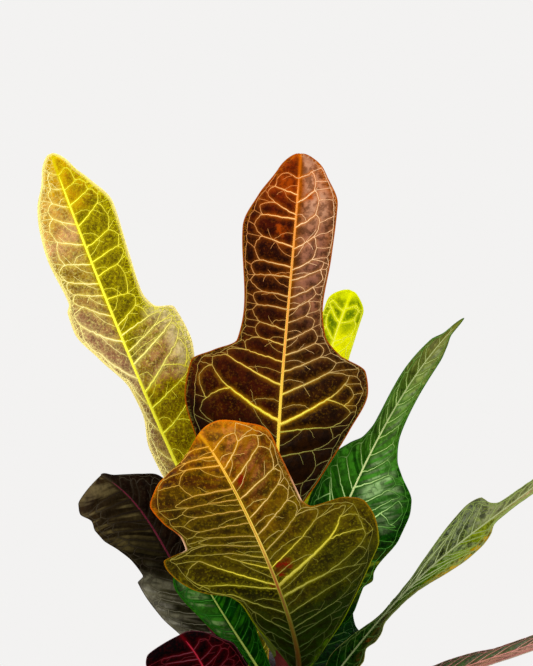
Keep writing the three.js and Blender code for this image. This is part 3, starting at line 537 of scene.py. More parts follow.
        "vein": [[0, "#1c3c10"], [0.26, "#38481c"], [0.4, "#747430"], [0.48, "#a8a038"], [0.54, "#ccbc34"],
                 [0.62, "#988040"], [0.8, "#b88c3c"], [1, "#e8a83c"]],
        "net": [[0, "#1c3c0c"], [0.35, "#484c1c"], [0.6, "#807434"], [1, "#b8903c"]],
        "glow": [[0, "#042002"], [0.3, "#1c2c04"], [0.42, "#5c5c10"], [0.5, "#948c20"], [0.6, "#847818"],
                 [0.75, "#846c10"], [1, "#c88c20"]],
        # the pale stops at 0.66 and 0.68 paint a highlight on the curled rim at the notch
        "margin": [[0, "#2c5410"], [0.2, "#687c1c"], [0.42, "#84842c"], [0.5, "#8c6824"], [0.64, "#8c5c28"],
                   [0.66, "#e8c0a0"], [0.68, "#e0b090"], [0.72, "#a8603c"], [0.84, "#b8582c"],
                   [1, "#cc6c28"]],
    },
    "dusk": {
        "slot": "leaf_burgundy", "shade": 0.35, "fleck": 0.14, "quilt": 0.9, "twigs": 0.4, "beads": 0.04,
        "net_fade": 0.7, "glow_mm": 0.8, "glow_share": 0.25, "margin_mm": 0.5, "streaky": 0.8,
        "streak_side": -1,
        "core": "#702034", "glow": "#4c4432", "margin": "#221a12", "under": "#40322e",
        "left": [[0, "#1c2412"], [0.2, "#242414"], [0.36, "#34321f"], [0.48, "#48452f"], [0.56, "#161006"],
                 [0.68, "#181206"], [0.8, "#281e10"], [1, "#281c0e"]],
        "right": [[0, "#0c1006"], [0.5, "#1c1008"], [1, "#180c06"]],
        "sheen_streak": [[0, "#7c7860"], [0.48, "#8c8870"], [0.58, "#2c2614"], [0.78, "#645838"], [1, "#60543a"]],
        "sheen_and_tints": [["#b0ac98", 0.8, 0.24, 0.5, -1.6, -0.55]],
        "rib": [[0, "#7c5450"], [0.5, "#5c2c30"], [0.8, "#64182a"], [1, "#3c1418"]],
        "vein": [[0, "#8c8870"], [0.45, "#8c8870"], [0.55, "#1c120c"], [1, "#241810"]],
        "net": [[0, "#8c8870"], [0.46, "#8c8870"], [0.56, "#241a12"], [1, "#241a12"]],
    },
    "low_left": {
        "slot": "leaf_burgundy", "shade": 0.5, "fleck": 0.12, "beads": 0.1, "net_fade": 0.7, "glow_mm": 1.4,
        "glow_share": 0.5, "margin_mm": 0.5,
        "core": "#b42438", "net": "#2c0c10", "glow": "#640c14", "margin": "#4c2c30", "under": "#54282a",
        "left": [[0, "#030001"], [1, "#060102"]],
        "rib": [[0, "#a01c30"], [1, "#8c1828"]],
        "vein": [[0, "#50181f"], [1, "#642c36"]],
    },
    "green": {
        "slot": "leaf_green", "shade": 0.5, "fleck": 0.12, "quilt": 0.8, "twigs": 0.3, "beads": 0.06,
        "net_fade": 0.85, "glow_mm": 1.0, "glow_share": 0.4, "margin_mm": 0.8, "streaky": 0.75,
        "core": "#b4c860", "net": "#18540c", "glow": "#1c6010", "margin": "#2c6018", "under": "#4f7f45",
        "left": [[0, "#011c01"], [0.4, "#022802"], [0.75, "#083806"], [1, "#184c10"]],
        "sheen_streak": [[0, "#0c5006"], [0.5, "#306c1c"], [1, "#4c8c38"]],
        "sheen_and_tints": [["#8cac6c", 0.7, 0.5, 0.95, -0.9, -0.1]],
        "rib": [[0, "#a0b03c"], [1, "#9cb050"]],
        "vein": [[0, "#347818"], [1, "#3c8424"]],
    },
    "bronze": {
        "slot": "leaf_bronze", "shade": 0.5, "beads": 0.4, "glow_mm": 1.2, "glow_share": 0.5,
        "margin_mm": 1.0,
        "core": "#d88a34", "net": "#94702c", "glow": "#6c380c", "margin": "#86451a", "under": "#5d3a22",
        "left": [[0, "#121c04"], [0.35, "#200e04"], [0.8, "#2c1406"], [1, "#6c2c0c"]],
        "rib": [[0, "#e0c42c"], [1, "#e8a834"]],
        "vein": [[0, "#c8b43c"], [1, "#d09c4c"]],
    },
    "shadow": {
        "slot": "leaf_bronze", "shade": 0.5, "beads": 0.05, "glow_mm": 1.0, "glow_share": 0.4,
        "margin_mm": 0.7,
        "core": "#4c7c24", "net": "#183c0c", "glow": "#124010", "margin": "#0c2a06", "under": "#2c3c18",
        "left": [[0, "#041402"], [0.5, "#062004"], [0.75, "#0c2a06"], [1, "#3c3010"]],
        "rib": [[0, "#3c6c1c"], [1, "#a89a40"]],
        "vein": [[0, "#184010"], [1, "#7c8038"]],
    },
    "olive": {
        "slot": "leaf_olive", "shade": 0.5, "beads": 0.4, "glow_mm": 1.2, "glow_share": 0.5,
        "margin_mm": 1.1,
        "core": "#d09c38", "net": "#948c34", "glow": "#7c6c10", "margin": "#9a641c", "under": "#6a6a2c",
        "left": [[0, "#142404"], [0.4, "#34340a"], [0.8, "#4a3c08"], [1, "#8e5614"]],
        "rib": [[0, "#dcc434"], [1, "#e4b838"]],
        "vein": [[0, "#b4b03c"], [1, "#c8ac40"]],
    },
    "crimson": {
        "slot": "leaf_burgundy", "shade": 0.5, "beads": 0.2, "glow_mm": 1.4, "glow_share": 0.55,
        "margin_mm": 0.7,
        "core": "#c83048", "net": "#501820", "glow": "#580c18", "margin": "#54222a", "under": "#4e2426",
        "left": [[0, "#0e1606"], [0.3, "#160406"], [0.8, "#20060a"], [1, "#340e12"]],
        "rib": [[0, "#b82438"], [1, "#a81e34"]],
        "vein": [[0, "#88203a"], [1, "#842838"]],
    },
}
DEFAULT_LOOK = {
    "right": None, "sheen_and_tints": [], "wash": None, "sheen_streak": None, "streaky": 0.0, "streak_pitch": 0.03,
    "streak_side": 0, "fleck": 0.4, "patch": 0.4, "quilt": 0.55, "twigs": 1.0, "beads": 0.3,
    "beads_mm": 4.0, "cells": 0.0, "net_fade": 0.45, "pale": "#000000", "pale_side": 0,
    "pale_share": 0.8, "pale_from": -1.0, "stalk": None, "spot": "#000000", "under_share": 0.55,
}


def look_of(name):
    return {**DEFAULT_LOOK, **LOOKS[name]}


# Small helpers

def linear(hex_colour):
    parts = [int(hex_colour[i:i + 2], 16) / 255 for i in (1, 3, 5)]
    return [c / 12.92 if c <= 0.04045 else ((c + 0.055) / 1.055) ** 2.4 for c in parts] + [1.0]


def unit(vectors):
    return vectors / np.linalg.norm(vectors, axis=-1, keepdims=True)


def smooth(value, low, high):
    t = np.clip((value - low) / (high - low), 0, 1)
    return t * t * (3 - 2 * t)


def blend(pair, share):
    return pair[0] + (pair[1] - pair[0]) * share


def turn_round(sides):
    return np.linspace(0, 2 * np.pi, sides, endpoint=False)


def station_rule(stations):
    """A smooth rule through [position, value] stations that never overshoots them."""
    xs, ys = np.array(stations, float).T
    steps = np.diff(ys) / np.diff(xs)
    slopes = np.r_[steps[0], np.zeros(len(steps) - 1), steps[-1]]
    product = steps[:-1] * steps[1:]
    total = np.where(product > 0, steps[:-1] + steps[1:], 1)
    slopes[1:-1] = np.where(product > 0, 2 * product / total, 0)

    def rule(x):
        x = np.clip(np.asarray(x, float), xs[0], xs[-1])
        i = np.clip(np.searchsorted(xs, x, side="right") - 1, 0, len(steps) - 1)
        span = xs[i + 1] - xs[i]
        t = (x - xs[i]) / span
        near = (1 + 2 * t) * (1 - t) ** 2 * ys[i]
        far = t * t * (3 - 2 * t) * ys[i + 1]
        return near + far + t * (1 - t) * ((1 - t) * slopes[i] - t * slopes[i + 1]) * span

    return rule


def spline_points(points, count):
    """A smooth line through given points, as a centripetal spline."""
    p = np.array(points, float)
    p = np.vstack([2 * p[0] - p[1], p, 2 * p[-1] - p[-2]])
    knots = np.r_[0, np.cumsum(np.linalg.norm(np.diff(p, axis=0), axis=1) ** 0.5)]
    out = []
    for t in np.linspace(knots[1], knots[-2], count):
        i = int(np.clip(np.searchsorted(knots, t, side="right") - 1, 1, len(p) - 3))
        k = knots[i - 1:i + 3]
        q = p[i - 1:i + 3]
        a = [q[j] * (k[j + 1] - t) / (k[j + 1] - k[j]) + q[j + 1] * (t - k[j]) / (k[j + 1] - k[j])
             for j in range(3)]
        b = [a[j] * (k[j + 2] - t) / (k[j + 2] - k[j]) + a[j + 1] * (t - k[j]) / (k[j + 2] - k[j])
             for j in range(2)]
        out.append(b[0] * (k[2] - t) / (k[2] - k[1]) + b[1] * (t - k[1]) / (k[2] - k[1]))
    return np.array(out)


stem_line = spline_points(STEM_AXIS, STEM_SAMPLES)


def on_stem(z):
    return np.array([np.interp(z, stem_line[:, 2], stem_line[:, i]) for i in range(3)])


def stem_radius(z):
    return np.interp(z, [STEM_AXIS[0][2], STEM_AXIS[-1][2]], STEM_RADII)


# Leaf geometry

class Leaf:
    """A midrib in space, and a blade that is flat paper bent about it."""

    def __init__(self, spec):
        self.spec = {**DEFAULT_LEAF, **spec}
        self.build = self.spec["build"]
        bearing = math.radians(spec["bearing"])
        out = np.array([math.cos(bearing), math.sin(bearing), 0])
        a = on_stem(spec["foot"]) + out * (stem_radius(spec["foot"]) - LEAF_SEAT)
        b, c, d = np.array(spec["midrib"], float)
        # The cubic starts at a, and passes b and c at its thirds.
        self.handles = [a, (-5 * a + 18 * b - 9 * c + 2 * d) / 6, (2 * a - 9 * b + 18 * c - 5 * d) / 6, d]
        self.t = np.linspace(0, 1, MIDRIB_SAMPLES)
        points = self.cubic(self.t)
        self.run = np.r_[0, np.cumsum(np.linalg.norm(np.diff(points, axis=0), axis=1))]
        self.length = self.run[-1]
        self.blade = self.length - spec["petiole"]
        self.face = np.array(spec["face"], float)
        self.half = {-1: station_rule(spec["left"]), 1: station_rule(spec["right"])}
        self.vein_end = station_rule(self.spec["veins"])

    def cubic(self, t):
        t = np.asarray(t)[..., None]
        a, b, c, d = self.handles
        return (1 - t) ** 3 * a + 3 * (1 - t) ** 2 * t * b + 3 * (1 - t) * t * t * c + t ** 3 * d

    def tangent(self, t):
        t = np.asarray(t)[..., None]
        a, b, c, d = self.handles
        return unit((1 - t) ** 2 * (b - a) + 2 * (1 - t) * t * (c - b) + t * t * (d - c))

    def frame(self, distance):
        """Point, run, upward normal and right-hand side along the leaf, straight on past the tip."""
        inside = np.clip(distance, 0, self.length)
        t = np.interp(inside, self.run, self.t)
        run = self.tangent(t)
        point = self.cubic(t) + run * (distance - inside)[..., None]
        share = (inside / self.length)[..., None]
        face = self.face[0] * (1 - share) + self.face[1] * share
        normal = unit(face - (face * run).sum(-1, keepdims=True) * run)
        return point, run, normal, np.cross(run, normal)

    def half_width(self, side, share):
        into_tip = np.clip(1 - (1 - share) * self.blade / self.spec["tip"], 0, 1)
        return self.half[side](share) * np.sqrt(1 - into_tip ** 2)

    def width_at(self, share, across):
        """Half-width on the side of the midrib where each point lies."""
        return np.where(across < 0, self.half_width(-1, share), self.half_width(1, share))

    def surface(self, along, across):
        """Middle of the blade and its normal at flat distances along it and across it, in mm."""
        along, across = np.broadcast_arrays(np.asarray(along, float), np.asarray(across, float))
        side, reach = np.where(across < 0, -1.0, 1.0), np.abs(across)
        share = np.clip(along / self.blade, 0, 1)
        v = np.clip(reach / np.maximum(self.width_at(share, across), LEAST_WIDTH), 0, 1.2)
        spec = self.spec
        point, _, normal, right = self.frame(spec["petiole"] + along + spec["sweep"] * reach)
        start = np.radians(blend(spec["fold"], share))
        bend = np.radians(blend(spec["curl"], share)) / CURL_SPAN
        end = start + bend * reach
        out = (np.sin(end) - np.sin(start)) / bend
        size, count, phase = spec["wave"]
        ripple = size * v ** 2 * np.sin(2 * np.pi * (count * share + phase * side))
        up = (np.cos(start) - np.cos(end)) / bend + ripple
        tilt = np.where(reach > 1e-6, np.sin(end) * side, 0)
        point = point + right * (out * side)[..., None] + normal * up[..., None]
        normal = normal * np.sqrt(1 - tilt ** 2)[..., None] - right * tilt[..., None]
        return point, normal

    def flat(self, along, across):
        """Where a point lies on the blade pressed flat."""
        return np.stack([along + self.spec["sweep"] * np.abs(across), across], -1)


# Veins, as lines on the flat blade in mm

def bend_line(a, b, c, step):
    a, b, c = np.array(a, float), np.array(b, float), np.array(c, float)
    count = max(3, int(math.ceil((np.linalg.norm(b - a) + np.linalg.norm(c - b)) / step)) + 1)
    t = np.linspace(0, 1, count)[:, None]
    return (1 - t) ** 2 * a + 2 * (1 - t) * t * b + t * t * c


def ruled_ribs(leaf, rng):
    """Side veins by rule, for a leaf that has none listed."""
    pitch = leaf.spec["spacing"] / leaf.blade
    starts = np.arange(RIB_RULE["first"], 1 - RIB_RULE["tip_gap"] / leaf.blade, pitch)
    starts = starts + rng.uniform(*RIB_RULE["shift"], len(starts)) * pitch
    for share in leaf.spec["strong"]:
        starts[np.argmin(np.abs(starts - share))] = share
    rows = []
    for start in starts:
        end = float(leaf.vein_end(start)) + rng.uniform(*RIB_RULE["end_shift"]) * pitch
        if start in leaf.spec["strong"]:
            reach, weight = RIB_RULE["strong"]
            rows.append([start, end, reach, weight])
            rows += [[end, end + rise, far, thin, reach] for rise, far, thin in RIB_RULE["arms"]]
        else:
            rows.append([start, end, rng.uniform(*RIB_RULE["reach"]), rng.uniform(*RIB_RULE["weight"])])
    return rows


class VeinSet:
    """The veins of one side of a leaf: ribs to their forks, loops between them, and the net."""

    def __init__(self, leaf, side, rng):
        self.leaf, self.side, self.rng = leaf, side, rng
        self.look = look_of(leaf.spec["look"])
        self.step = leaf.build["step"]
        self.lines = []
        rows = leaf.spec.get("ribs_left" if side < 0 else "ribs_right") or ruled_ribs(leaf, rng)
        self.rows = [Rib(*row) for row in rows]
        self.ribs()
        self.loops()
        self.twigs()

    def width(self, along):
        return float(self.leaf.half_width(self.side, np.clip(along / self.leaf.blade, 0, 1)))

    def add(self, kind, a, b, c, size=1.0):
        first, last, tone = VEIN_KINDS[kind]
        line = bend_line(a, b, c, self.step)
        line[1:-1] += self.rng.normal(0, VEIN_SWAY, (len(line) - 2, 2))
        share = np.clip(line[:, 0] / self.leaf.blade, 0, 1)
        line[:, 1] = np.minimum(line[:, 1], NET_REACH * self.leaf.half_width(self.side, share))
        flat = np.column_stack([line[:, 0], self.side * line[:, 1]])
        self.lines.append((flat, (first * size, last * size), tone))

    def place(self, share, reach):
        along = share * self.leaf.blade
        return np.array([along, reach * self.width(along)])

    def along_rib(self, rib, part):
        return self.place(rib.start, 0) * (1 - part) + self.place(rib.end, rib.reach) * part

    def ribs(self):
        for rib in self.rows:
            a, c = self.place(rib.start, rib.origin), self.place(rib.end, rib.reach)
            b = a + (c - a) * [self.rng.uniform(*span) for span in RIB_BEND]
            kind = "arm" if rib.origin else "rib"
            if rib.weight > STRONG_WEIGHT:
                kind = "strong_" + kind
            self.add(kind, a, b, c, rib.weight * min(1.0, NARROW_SIZE + c[1] / WIDE_ENOUGH))

    def loops(self):
        """Arms from each fork meet between the ribs; spurs and a scalloped line close the margin."""
        rng = self.rng
        forked = {(rib.start, rib.origin) for rib in self.rows if rib.origin}
        ends = sorted((rib.end, rib.reach) for rib in self.rows if (rib.end, rib.reach) not in forked)
        ends = [self.place(*end) for end in ends]
        outer = [ends[0]]
        for a, c in zip(ends, ends[1:]):
            gap = c[0] - a[0]
            if gap < LEAST_LOOP:
                outer.append(c)
                continue
            along = a[0] + gap * rng.uniform(*LOOP["at"])
            near = max(a[1] / max(self.width(a[0]), 1), c[1] / max(self.width(c[0]), 1))
            reach = min(LOOP["furthest"], near + rng.uniform(*LOOP["rise"]))
            loop = np.array([along, self.width(along) * reach])
            for end, lean in ((a, LOOP["lean"]), (c, -LOOP["lean"])):
                knee = np.array([end[0] + gap * lean * LOOP["knee"], (end[1] + 2 * loop[1]) / 3])
                self.add("loop", end, knee, loop)
            outer += [loop, c]
        self.rim([node for node in outer if node[1] > RIM["from"]])

    def rim(self, nodes):
        """Leaning spurs run out to an uneven line that closes the fields along the margin."""
        rng = self.rng
        rims = []
        for node in nodes:
            if rims and node[0] - rims[-1][0] < RIM_PITCH:
                continue
            share = np.clip((node[0] + rng.uniform(*RIM["lean"])) / self.leaf.blade, 0, RIM["end"])
            rim = self.place(share, rng.uniform(RIM["reach"], NET_REACH))
            if rim[1] - node[1] > RIM["least_spur"]:
                self.add("spur", node, (node + rim) / 2 + [rng.uniform(*RIM["spur_bend"]), 0], rim)
            rims.append(rim)
        for a, c in zip(rims, rims[1:]):
            if RIM["gap"][0] < c[0] - a[0] < RIM["gap"][1]:
                self.add("rim", a, (a + c) / 2 + [0, rng.uniform(*RIM["scallop"])], c)

    def twigs(self):
        """In each field between two ribs, a thin vein that bends to join one, and a short veinlet."""
        rng = self.rng
        main = sorted(rib for rib in self.rows if not rib.origin)
        for low, high in zip(main, main[1:]):
            gap = (high.start - low.start) * self.leaf.blade
            if gap < LEAST_FIELD:
                continue
            middle_share = (low.start + high.start) / 2
            start = self.place(middle_share + rng.uniform(*TWIG["shift"]) * gap / self.leaf.blade, 0)
            part = rng.uniform(*TWIG["bend"])
            middle = (self.along_rib(low, part) + self.along_rib(high, part)) / 2
            goal = self.along_rib(low if rng.random() < 0.5 else high, part + rng.uniform(*TWIG["length"]))
            if goal[1] > TWIG["from"] and rng.random() < self.look["twigs"]:
                self.add("twig", start, middle, goal)
            if self.leaf.build is PLAIN or rng.random() > VEINLET["share"] * self.look["twigs"]:
                continue
            far = rng.uniform(*VEINLET["at"])
            a, c = self.along_rib(low, far), self.along_rib(high, far)
            if rng.random() < 0.5:
                a, c = c, a
            if np.linalg.norm(c - a) > VEINLET["least_gap"]:
                free = a + rng.uniform(*VEINLET["length"]) * (c - a) + [0, rng.uniform(*VEINLET["rise"])]
                self.add("veinlet", a, (a + free) / 2 + [0, VEINLET["bow"]], free)


def all_veins(leaf, seed):
    rng = np.random.default_rng(seed)
    return [line for side in (-1, 1) for line in VeinSet(leaf, side, rng).lines]


def vein_samples(leaf, veins):
    """Points close together on the flat blade's veins, and what a vein's size adds to their distance."""
    points, extra = [], []
    for line, radii, tone in veins:
        if tone < FINE_TONE:
            at = np.linspace(0, len(line) - 1, 3 * len(line) - 2)
            dense = [np.interp(at, np.arange(len(line)), line[:, i]) for i in (0, 1)]
            points.append(leaf.flat(*dense))
            extra.append(TONE_GAP * tone - np.linspace(*radii, len(at)) / 2)
    return np.vstack(points), np.concatenate(extra)


def distance_to(points, samples, extra):
    """Distance from each flat point to the nearest vein, in mm and up to FAR_FROM_VEIN."""
    out = np.empty(len(points))
    for i in range(0, len(points), CHUNK):
        part = points[i:i + CHUNK]
        near = samples[:, 0] > part[:, 0].min() - FAR_FROM_VEIN
        near &= samples[:, 0] < part[:, 0].max() + FAR_FROM_VEIN
        apart = np.linalg.norm(part[:, None] - samples[None, near], axis=-1) + extra[near]
        out[i:i + CHUNK] = apart.min(1, initial=FAR_FROM_VEIN)
    return np.maximum(out, 0)


def swelling(leaf, along, across, samples):
    """Distances to the nearest vein and to the margin, and how far the tissue swells there, in mm."""
    half = leaf.width_at(along / leaf.blade, across)
    vein = np.minimum(distance_to(leaf.flat(along, across), *samples), np.abs(across))
    edge = np.minimum(half - np.abs(across), leaf.blade - along + TIP_MARGIN)
    quilt = look_of(leaf.spec["look"])["quilt"]
    return vein, edge, quilt * smooth(vein, *SWELL_FROM_VEIN) * smooth(edge, *SWELL_FROM_EDGE)


# Meshes

def grid_faces(rows, columns, offset=0, flip=False):
    a = (np.arange(rows - 1)[:, None] * columns + np.arange(columns - 1)[None, :]).ravel() + offset
    quads = np.stack([a, a + 1, a + columns + 1, a + columns], 1)
    return quads[:, ::-1] if flip else quads


def wall_faces(a, b, drop, flip=False):
    """Quads under the edges from points a to points b, whose other side lies drop points further on."""
    return np.stack([a, a + drop, b + drop, b] if flip else [a, b, b + drop, a + drop], 1)


def tube_faces(rings, sides):
    i = np.arange(rings - 1)[:, None] * sides
    j = np.arange(sides)[None, :]
    following = (j + 1) % sides
    return np.stack([i + j, i + following, i + sides + following, i + sides + j], -1).reshape(-1, 4)


def make_object(name, points, faces, material, attributes=None, sharp=None):
    mesh = bpy.data.meshes.new(name)
    faces = faces if isinstance(faces, list) else faces.tolist()
    mesh.from_pydata((np.asarray(points) * MM).tolist(), [], faces)
    for key, values in (attributes or {}).items():
        layer = mesh.attributes.new(key, "FLOAT", "POINT")
        layer.data.foreach_set("value", np.asarray(values, np.float32))
    mesh.polygons.foreach_set("use_smooth", [True] * len(mesh.polygons))
    if sharp is not None:
        mesh.set_sharp_from_angle(angle=math.radians(sharp))
    mesh.materials.append(material)
    obj = bpy.data.objects.new(name, mesh)
    bpy.context.scene.collection.objects.link(obj)
    return obj


def blade_shares(leaf):
    cap = leaf.spec["tip"] / leaf.blade
    body = np.linspace(0, 1 - cap, leaf.build["rows"])
    turn = np.linspace(0, TIP_TURN, leaf.build["cap"] + 1)[1:] * math.pi / 2
    return np.r_[body, 1 - cap + cap * np.sin(turn)]


def both_faces(values):
    return np.tile(values.ravel(), 2)


def blade_object(leaf, name, samples, material):
    shares = blade_shares(leaf)
    rows, count = len(shares), leaf.build["columns"]
    v = np.linspace(-1, 1, count)
    across = v[None, :] * leaf.width_at(shares[:, None], v[None, :])
    along = np.repeat((shares * leaf.blade)[:, None], count, 1)
    point, normal = leaf.surface(along, across)
    vein, edge, bulge = swelling(leaf, along.ravel(), across.ravel(), samples)
    lateral = np.repeat(v[None, :], rows, 0)
    thickness = BLADE_THICKNESS / 2 * (1 - EDGE_THINNING * np.abs(lateral.ravel()) ** EDGE_POWER)[:, None]
    point, normal = point.reshape(-1, 3), normal.reshape(-1, 3)
    middle = point + normal * bulge[:, None]
    points = np.vstack([middle + normal * thickness, middle - normal * thickness])
    size = rows * count
    i, j = np.arange(rows - 1) * count, np.arange(count - 1)
    last, end = i + count - 1, (rows - 1) * count + j
    faces = np.vstack([
        grid_faces(rows, count),
        grid_faces(rows, count, size, flip=True),
        wall_faces(i, i + count, size),
        wall_faces(last, last + count, size, flip=True),
        wall_faces(j, j + 1, size, flip=True),
        wall_faces(end, end + 1, size),
    ])
    spot = np.zeros_like(along)
    for share, offset, radius in leaf.spec["spots"]:
        away = np.hypot(along - share * leaf.blade, across - offset)
        spot = np.maximum(spot, np.exp(-(away / radius) ** 2))
    attributes = {
        "vein": both_faces(vein), "edge": both_faces(edge), "along": both_faces(along / leaf.blade),
        "lateral": both_faces(lateral), "spot": both_faces(spot), "under": np.repeat([0.0, 1.0], size),
    }
    return make_object(name, points, faces, material, attributes, sharp=50)


def vein_tube(leaf, line, radii, tone, samples):
    """A six-sided tube along a vein, a little proud of both faces."""
    point, normal = leaf.surface(line[:, 0], line[:, 1])
    if tone >= FINE_TONE:
        point = point + normal * swelling(leaf, line[:, 0], line[:, 1], samples)[2][:, None]
    run = unit(np.gradient(point, axis=0))
    right = unit(np.cross(run, normal))
    share = np.linspace(0, 1, len(line))
    radius = blend(radii, share)
    rise = BLADE_THICKNESS / 2 + VEIN_PROUD + VEIN_RISE * radius
    ring = (point[:, None] + right[:, None] * (VEIN_SECTION[None, :, :1] * radius[:, None, None])
            + normal[:, None] * (VEIN_SECTION[None, :, 1:] * rise[:, None, None]))
    side = np.sign(line[:, 1]) * np.minimum(np.abs(line[:, 1]) / SIDE_SPAN, 1)
    values = {"tone": (tone + TONE_FADE * share)[:, None], "along": (line[:, 0] / leaf.blade)[:, None],
              "side": side[:, None], "crest": 0.0}
    return ring, tube_faces(*ring.shape[:2]), values


def midrib_tube(leaf):
    """The stalk and the midrib: a round tube that flattens on the blade's upper side."""
    petiole = leaf.spec["petiole"]
    distance = np.r_[np.linspace(0, petiole, STALK_RINGS)[:-1],
                     petiole + np.linspace(0, MIDRIB_END, MIDRIB_RINGS) * leaf.blade]
    point, _, normal, right = leaf.frame(distance)
    share = np.clip((distance - petiole) / leaf.blade, 0, 1)
    stalk = smooth(distance / petiole, 1.15, 0.85)
    stalk_radius = PETIOLE_RADIUS * (1 + FOOT_FLARE * np.exp(-distance / FOOT_LENGTH))
    taper = 1 - 0.75 * smooth(share, 0.9, 1.0)
    width = stalk_radius * stalk + (1 - stalk) * blend(leaf.spec["midrib_mm"], share ** 0.7) * taper
    over = stalk_radius * stalk + (1 - stalk) * (0.75 - 0.3 * share) * taper
    below = stalk_radius * stalk + (1 - stalk) * (1.4 - 1.0 * share) * taper
    angle = turn_round(MIDRIB_SIDES)[None, :]
    height = np.where(np.sin(angle) < 0, over[:, None], below[:, None]) * -np.sin(angle)
    ring = (point[:, None] + right[:, None] * (width[:, None] * np.cos(angle))[..., None]
            + normal[:, None] * height[..., None])
    tone = np.where(distance < petiole, STALK_TONE * stalk, 0.0)
    values = {"tone": tone[:, None], "along": share[:, None], "side": 0.0, "crest": np.sin(angle) ** 2}
    return ring, tube_faces(*ring.shape[:2])[:, ::-1], values


def veins_object(leaf, name, veins, samples, material):
    tubes = [vein_tube(leaf, *vein, samples) for vein in veins] + [midrib_tube(leaf)]
    faces, base = [], 0
    for ring, tube, _ in tubes:
        faces.append(tube + base)
        base += ring.shape[0] * ring.shape[1]
    attributes = {key: np.concatenate([np.broadcast_to(values[key], ring.shape[:2]).ravel()
                                       for ring, _, values in tubes])
                  for key in ("tone", "along", "side", "crest")}
    points = np.vstack([ring.reshape(-1, 3) for ring, _, _ in tubes])
    return make_object(name, points, np.vstack(faces), material, attributes)


# Materials

class Tree:
    """A material's nodes, with one short call for each."""

    def __init__(self, name):
        self.material = bpy.data.materials.new(name)
        self.material.use_nodes = True
        self.nodes = self.material.node_tree.nodes
        self.links = self.material.node_tree.links
        self.shader = self.nodes["Principled BSDF"]
        self.place = self.nodes.new("ShaderNodeTexCoord").outputs["Object"]

    def put(self, node, socket, value):
        if isinstance(value, bpy.types.NodeSocket):
            self.links.new(value, node.inputs[socket])
        elif value is not None:
            node.inputs[socket].default_value = value

    def value(self, name):
        node = self.nodes.new("ShaderNodeAttribute")
        node.attribute_name = name
        return node.outputs["Fac"]

    def noise(self, scale, detail=3.0, rough=0.55, stretch=None, place=None):
        node = self.nodes.new("ShaderNodeTexNoise")
        place = place or self.place
        if stretch is not None:
            mapping = self.nodes.new("ShaderNodeMapping")
            mapping.inputs["Scale"].default_value = stretch
            self.links.new(place, mapping.inputs["Vector"])
            place = mapping.outputs["Vector"]
        for socket, value in (("Vector", place), ("Scale", scale), ("Detail", detail),
                              ("Roughness", rough)):
            self.put(node, socket, value)
        return node.outputs["Fac"]

    def cells(self, scale, sway=0.0):
        """Distance to the walls of cells; sway bends the walls, in metres."""
        place = self.place
        if sway:
            bend = self.nodes.new("ShaderNodeTexNoise")
            self.put(bend, "Vector", place)
            self.put(bend, "Scale", 0.4 * scale)
            add = self.nodes.new("ShaderNodeVectorMath")
            add.operation = "MULTIPLY_ADD"
            self.put(add, 0, bend.outputs["Color"])
            self.put(add, 1, (sway, sway, sway))
            self.put(add, 2, place)
            place = add.outputs[0]
        node = self.nodes.new("ShaderNodeTexVoronoi")
        node.feature = "DISTANCE_TO_EDGE"
        self.put(node, "Vector", place)
        self.put(node, "Scale", scale)
        return node.outputs["Distance"]

    def streaks(self, along, lateral, pitch):
        """Noise drawn out along the side veins; pitch is a share of the blade."""
        back = self.times(self.math("ABSOLUTE", lateral), -VEIN_LEAN)
        place = self.nodes.new("ShaderNodeCombineXYZ")
        self.put(place, 0, self.times(self.math("ADD", along, back), 1 / pitch))
        self.put(place, 1, lateral)
        return self.noise(1.0, 2.0, 0.5, place=place.outputs[0])

    def ramp(self, value, low, high, start=0.0, end=1.0):
        node = self.nodes.new("ShaderNodeMapRange")
        node.interpolation_type = "SMOOTHSTEP"
        for socket, number in zip(("Value", "From Min", "From Max", "To Min", "To Max"),
                                  (value, low, high, start, end)):
            self.put(node, socket, number)
        return node.outputs["Result"]

    def math(self, kind, a, b=None):
        node = self.nodes.new("ShaderNodeMath")
        node.operation = kind
        self.put(node, 0, a)
        self.put(node, 1, b)
        return node.outputs[0]

    def times(self, product, *others):
        for other in others:
            product = self.math("MULTIPLY", product, other)
        return product

    def bands(self, value, stops):
        """Colours set at stops from 0 to 1, as [stop, colour]."""
        node = self.nodes.new("ShaderNodeValToRGB")
        node.color_ramp.interpolation = "EASE"
        points = node.color_ramp.elements
        while len(points) < len(stops):
            points.new(0.5)
        for point, (stop, colour) in zip(points, stops):
            point.position = stop
            point.color = linear(colour)
        self.put(node, "Fac", value)
        return node.outputs["Color"]

    def tint(self, value, colour):
        """One colour, or stops along the blade."""
        return linear(colour) if isinstance(colour, str) else self.bands(value, colour)

    def mix(self, share, a, b, blend="MIX"):
        node = self.nodes.new("ShaderNodeMix")
        node.data_type = "RGBA"
        node.blend_type = blend
        self.put(node, 0, share)
        self.put(node, 6, a)
        self.put(node, 7, b)
        return node.outputs[2]

    def paint(self, ground, *layers):
        """Colours laid over a ground colour, each by its own share."""
        colour = linear(ground)
        for share, tint in layers:
            colour = self.mix(share, colour, linear(tint))
        return colour

    def vivid(self, colour, saturation):
        node = self.nodes.new("ShaderNodeHueSaturation")
        self.put(node, "Color", colour)
        self.put(node, "Saturation", saturation)
        return node.outputs["Color"]

    def bump(self, height, distance, strength=1.0):
        node = self.nodes.new("ShaderNodeBump")
        self.put(node, "Height", height)
        self.put(node, "Distance", distance)
        self.put(node, "Strength", strength)
        self.links.new(node.outputs["Normal"], self.shader.inputs["Normal"])

    def finish(self, colour, roughness, specular):
        self.put(self.shader, "Base Color", colour)
        self.put(self.shader, "Roughness", roughness)
        self.put(self.shader, "Specular IOR Level", specular)
        return self.material


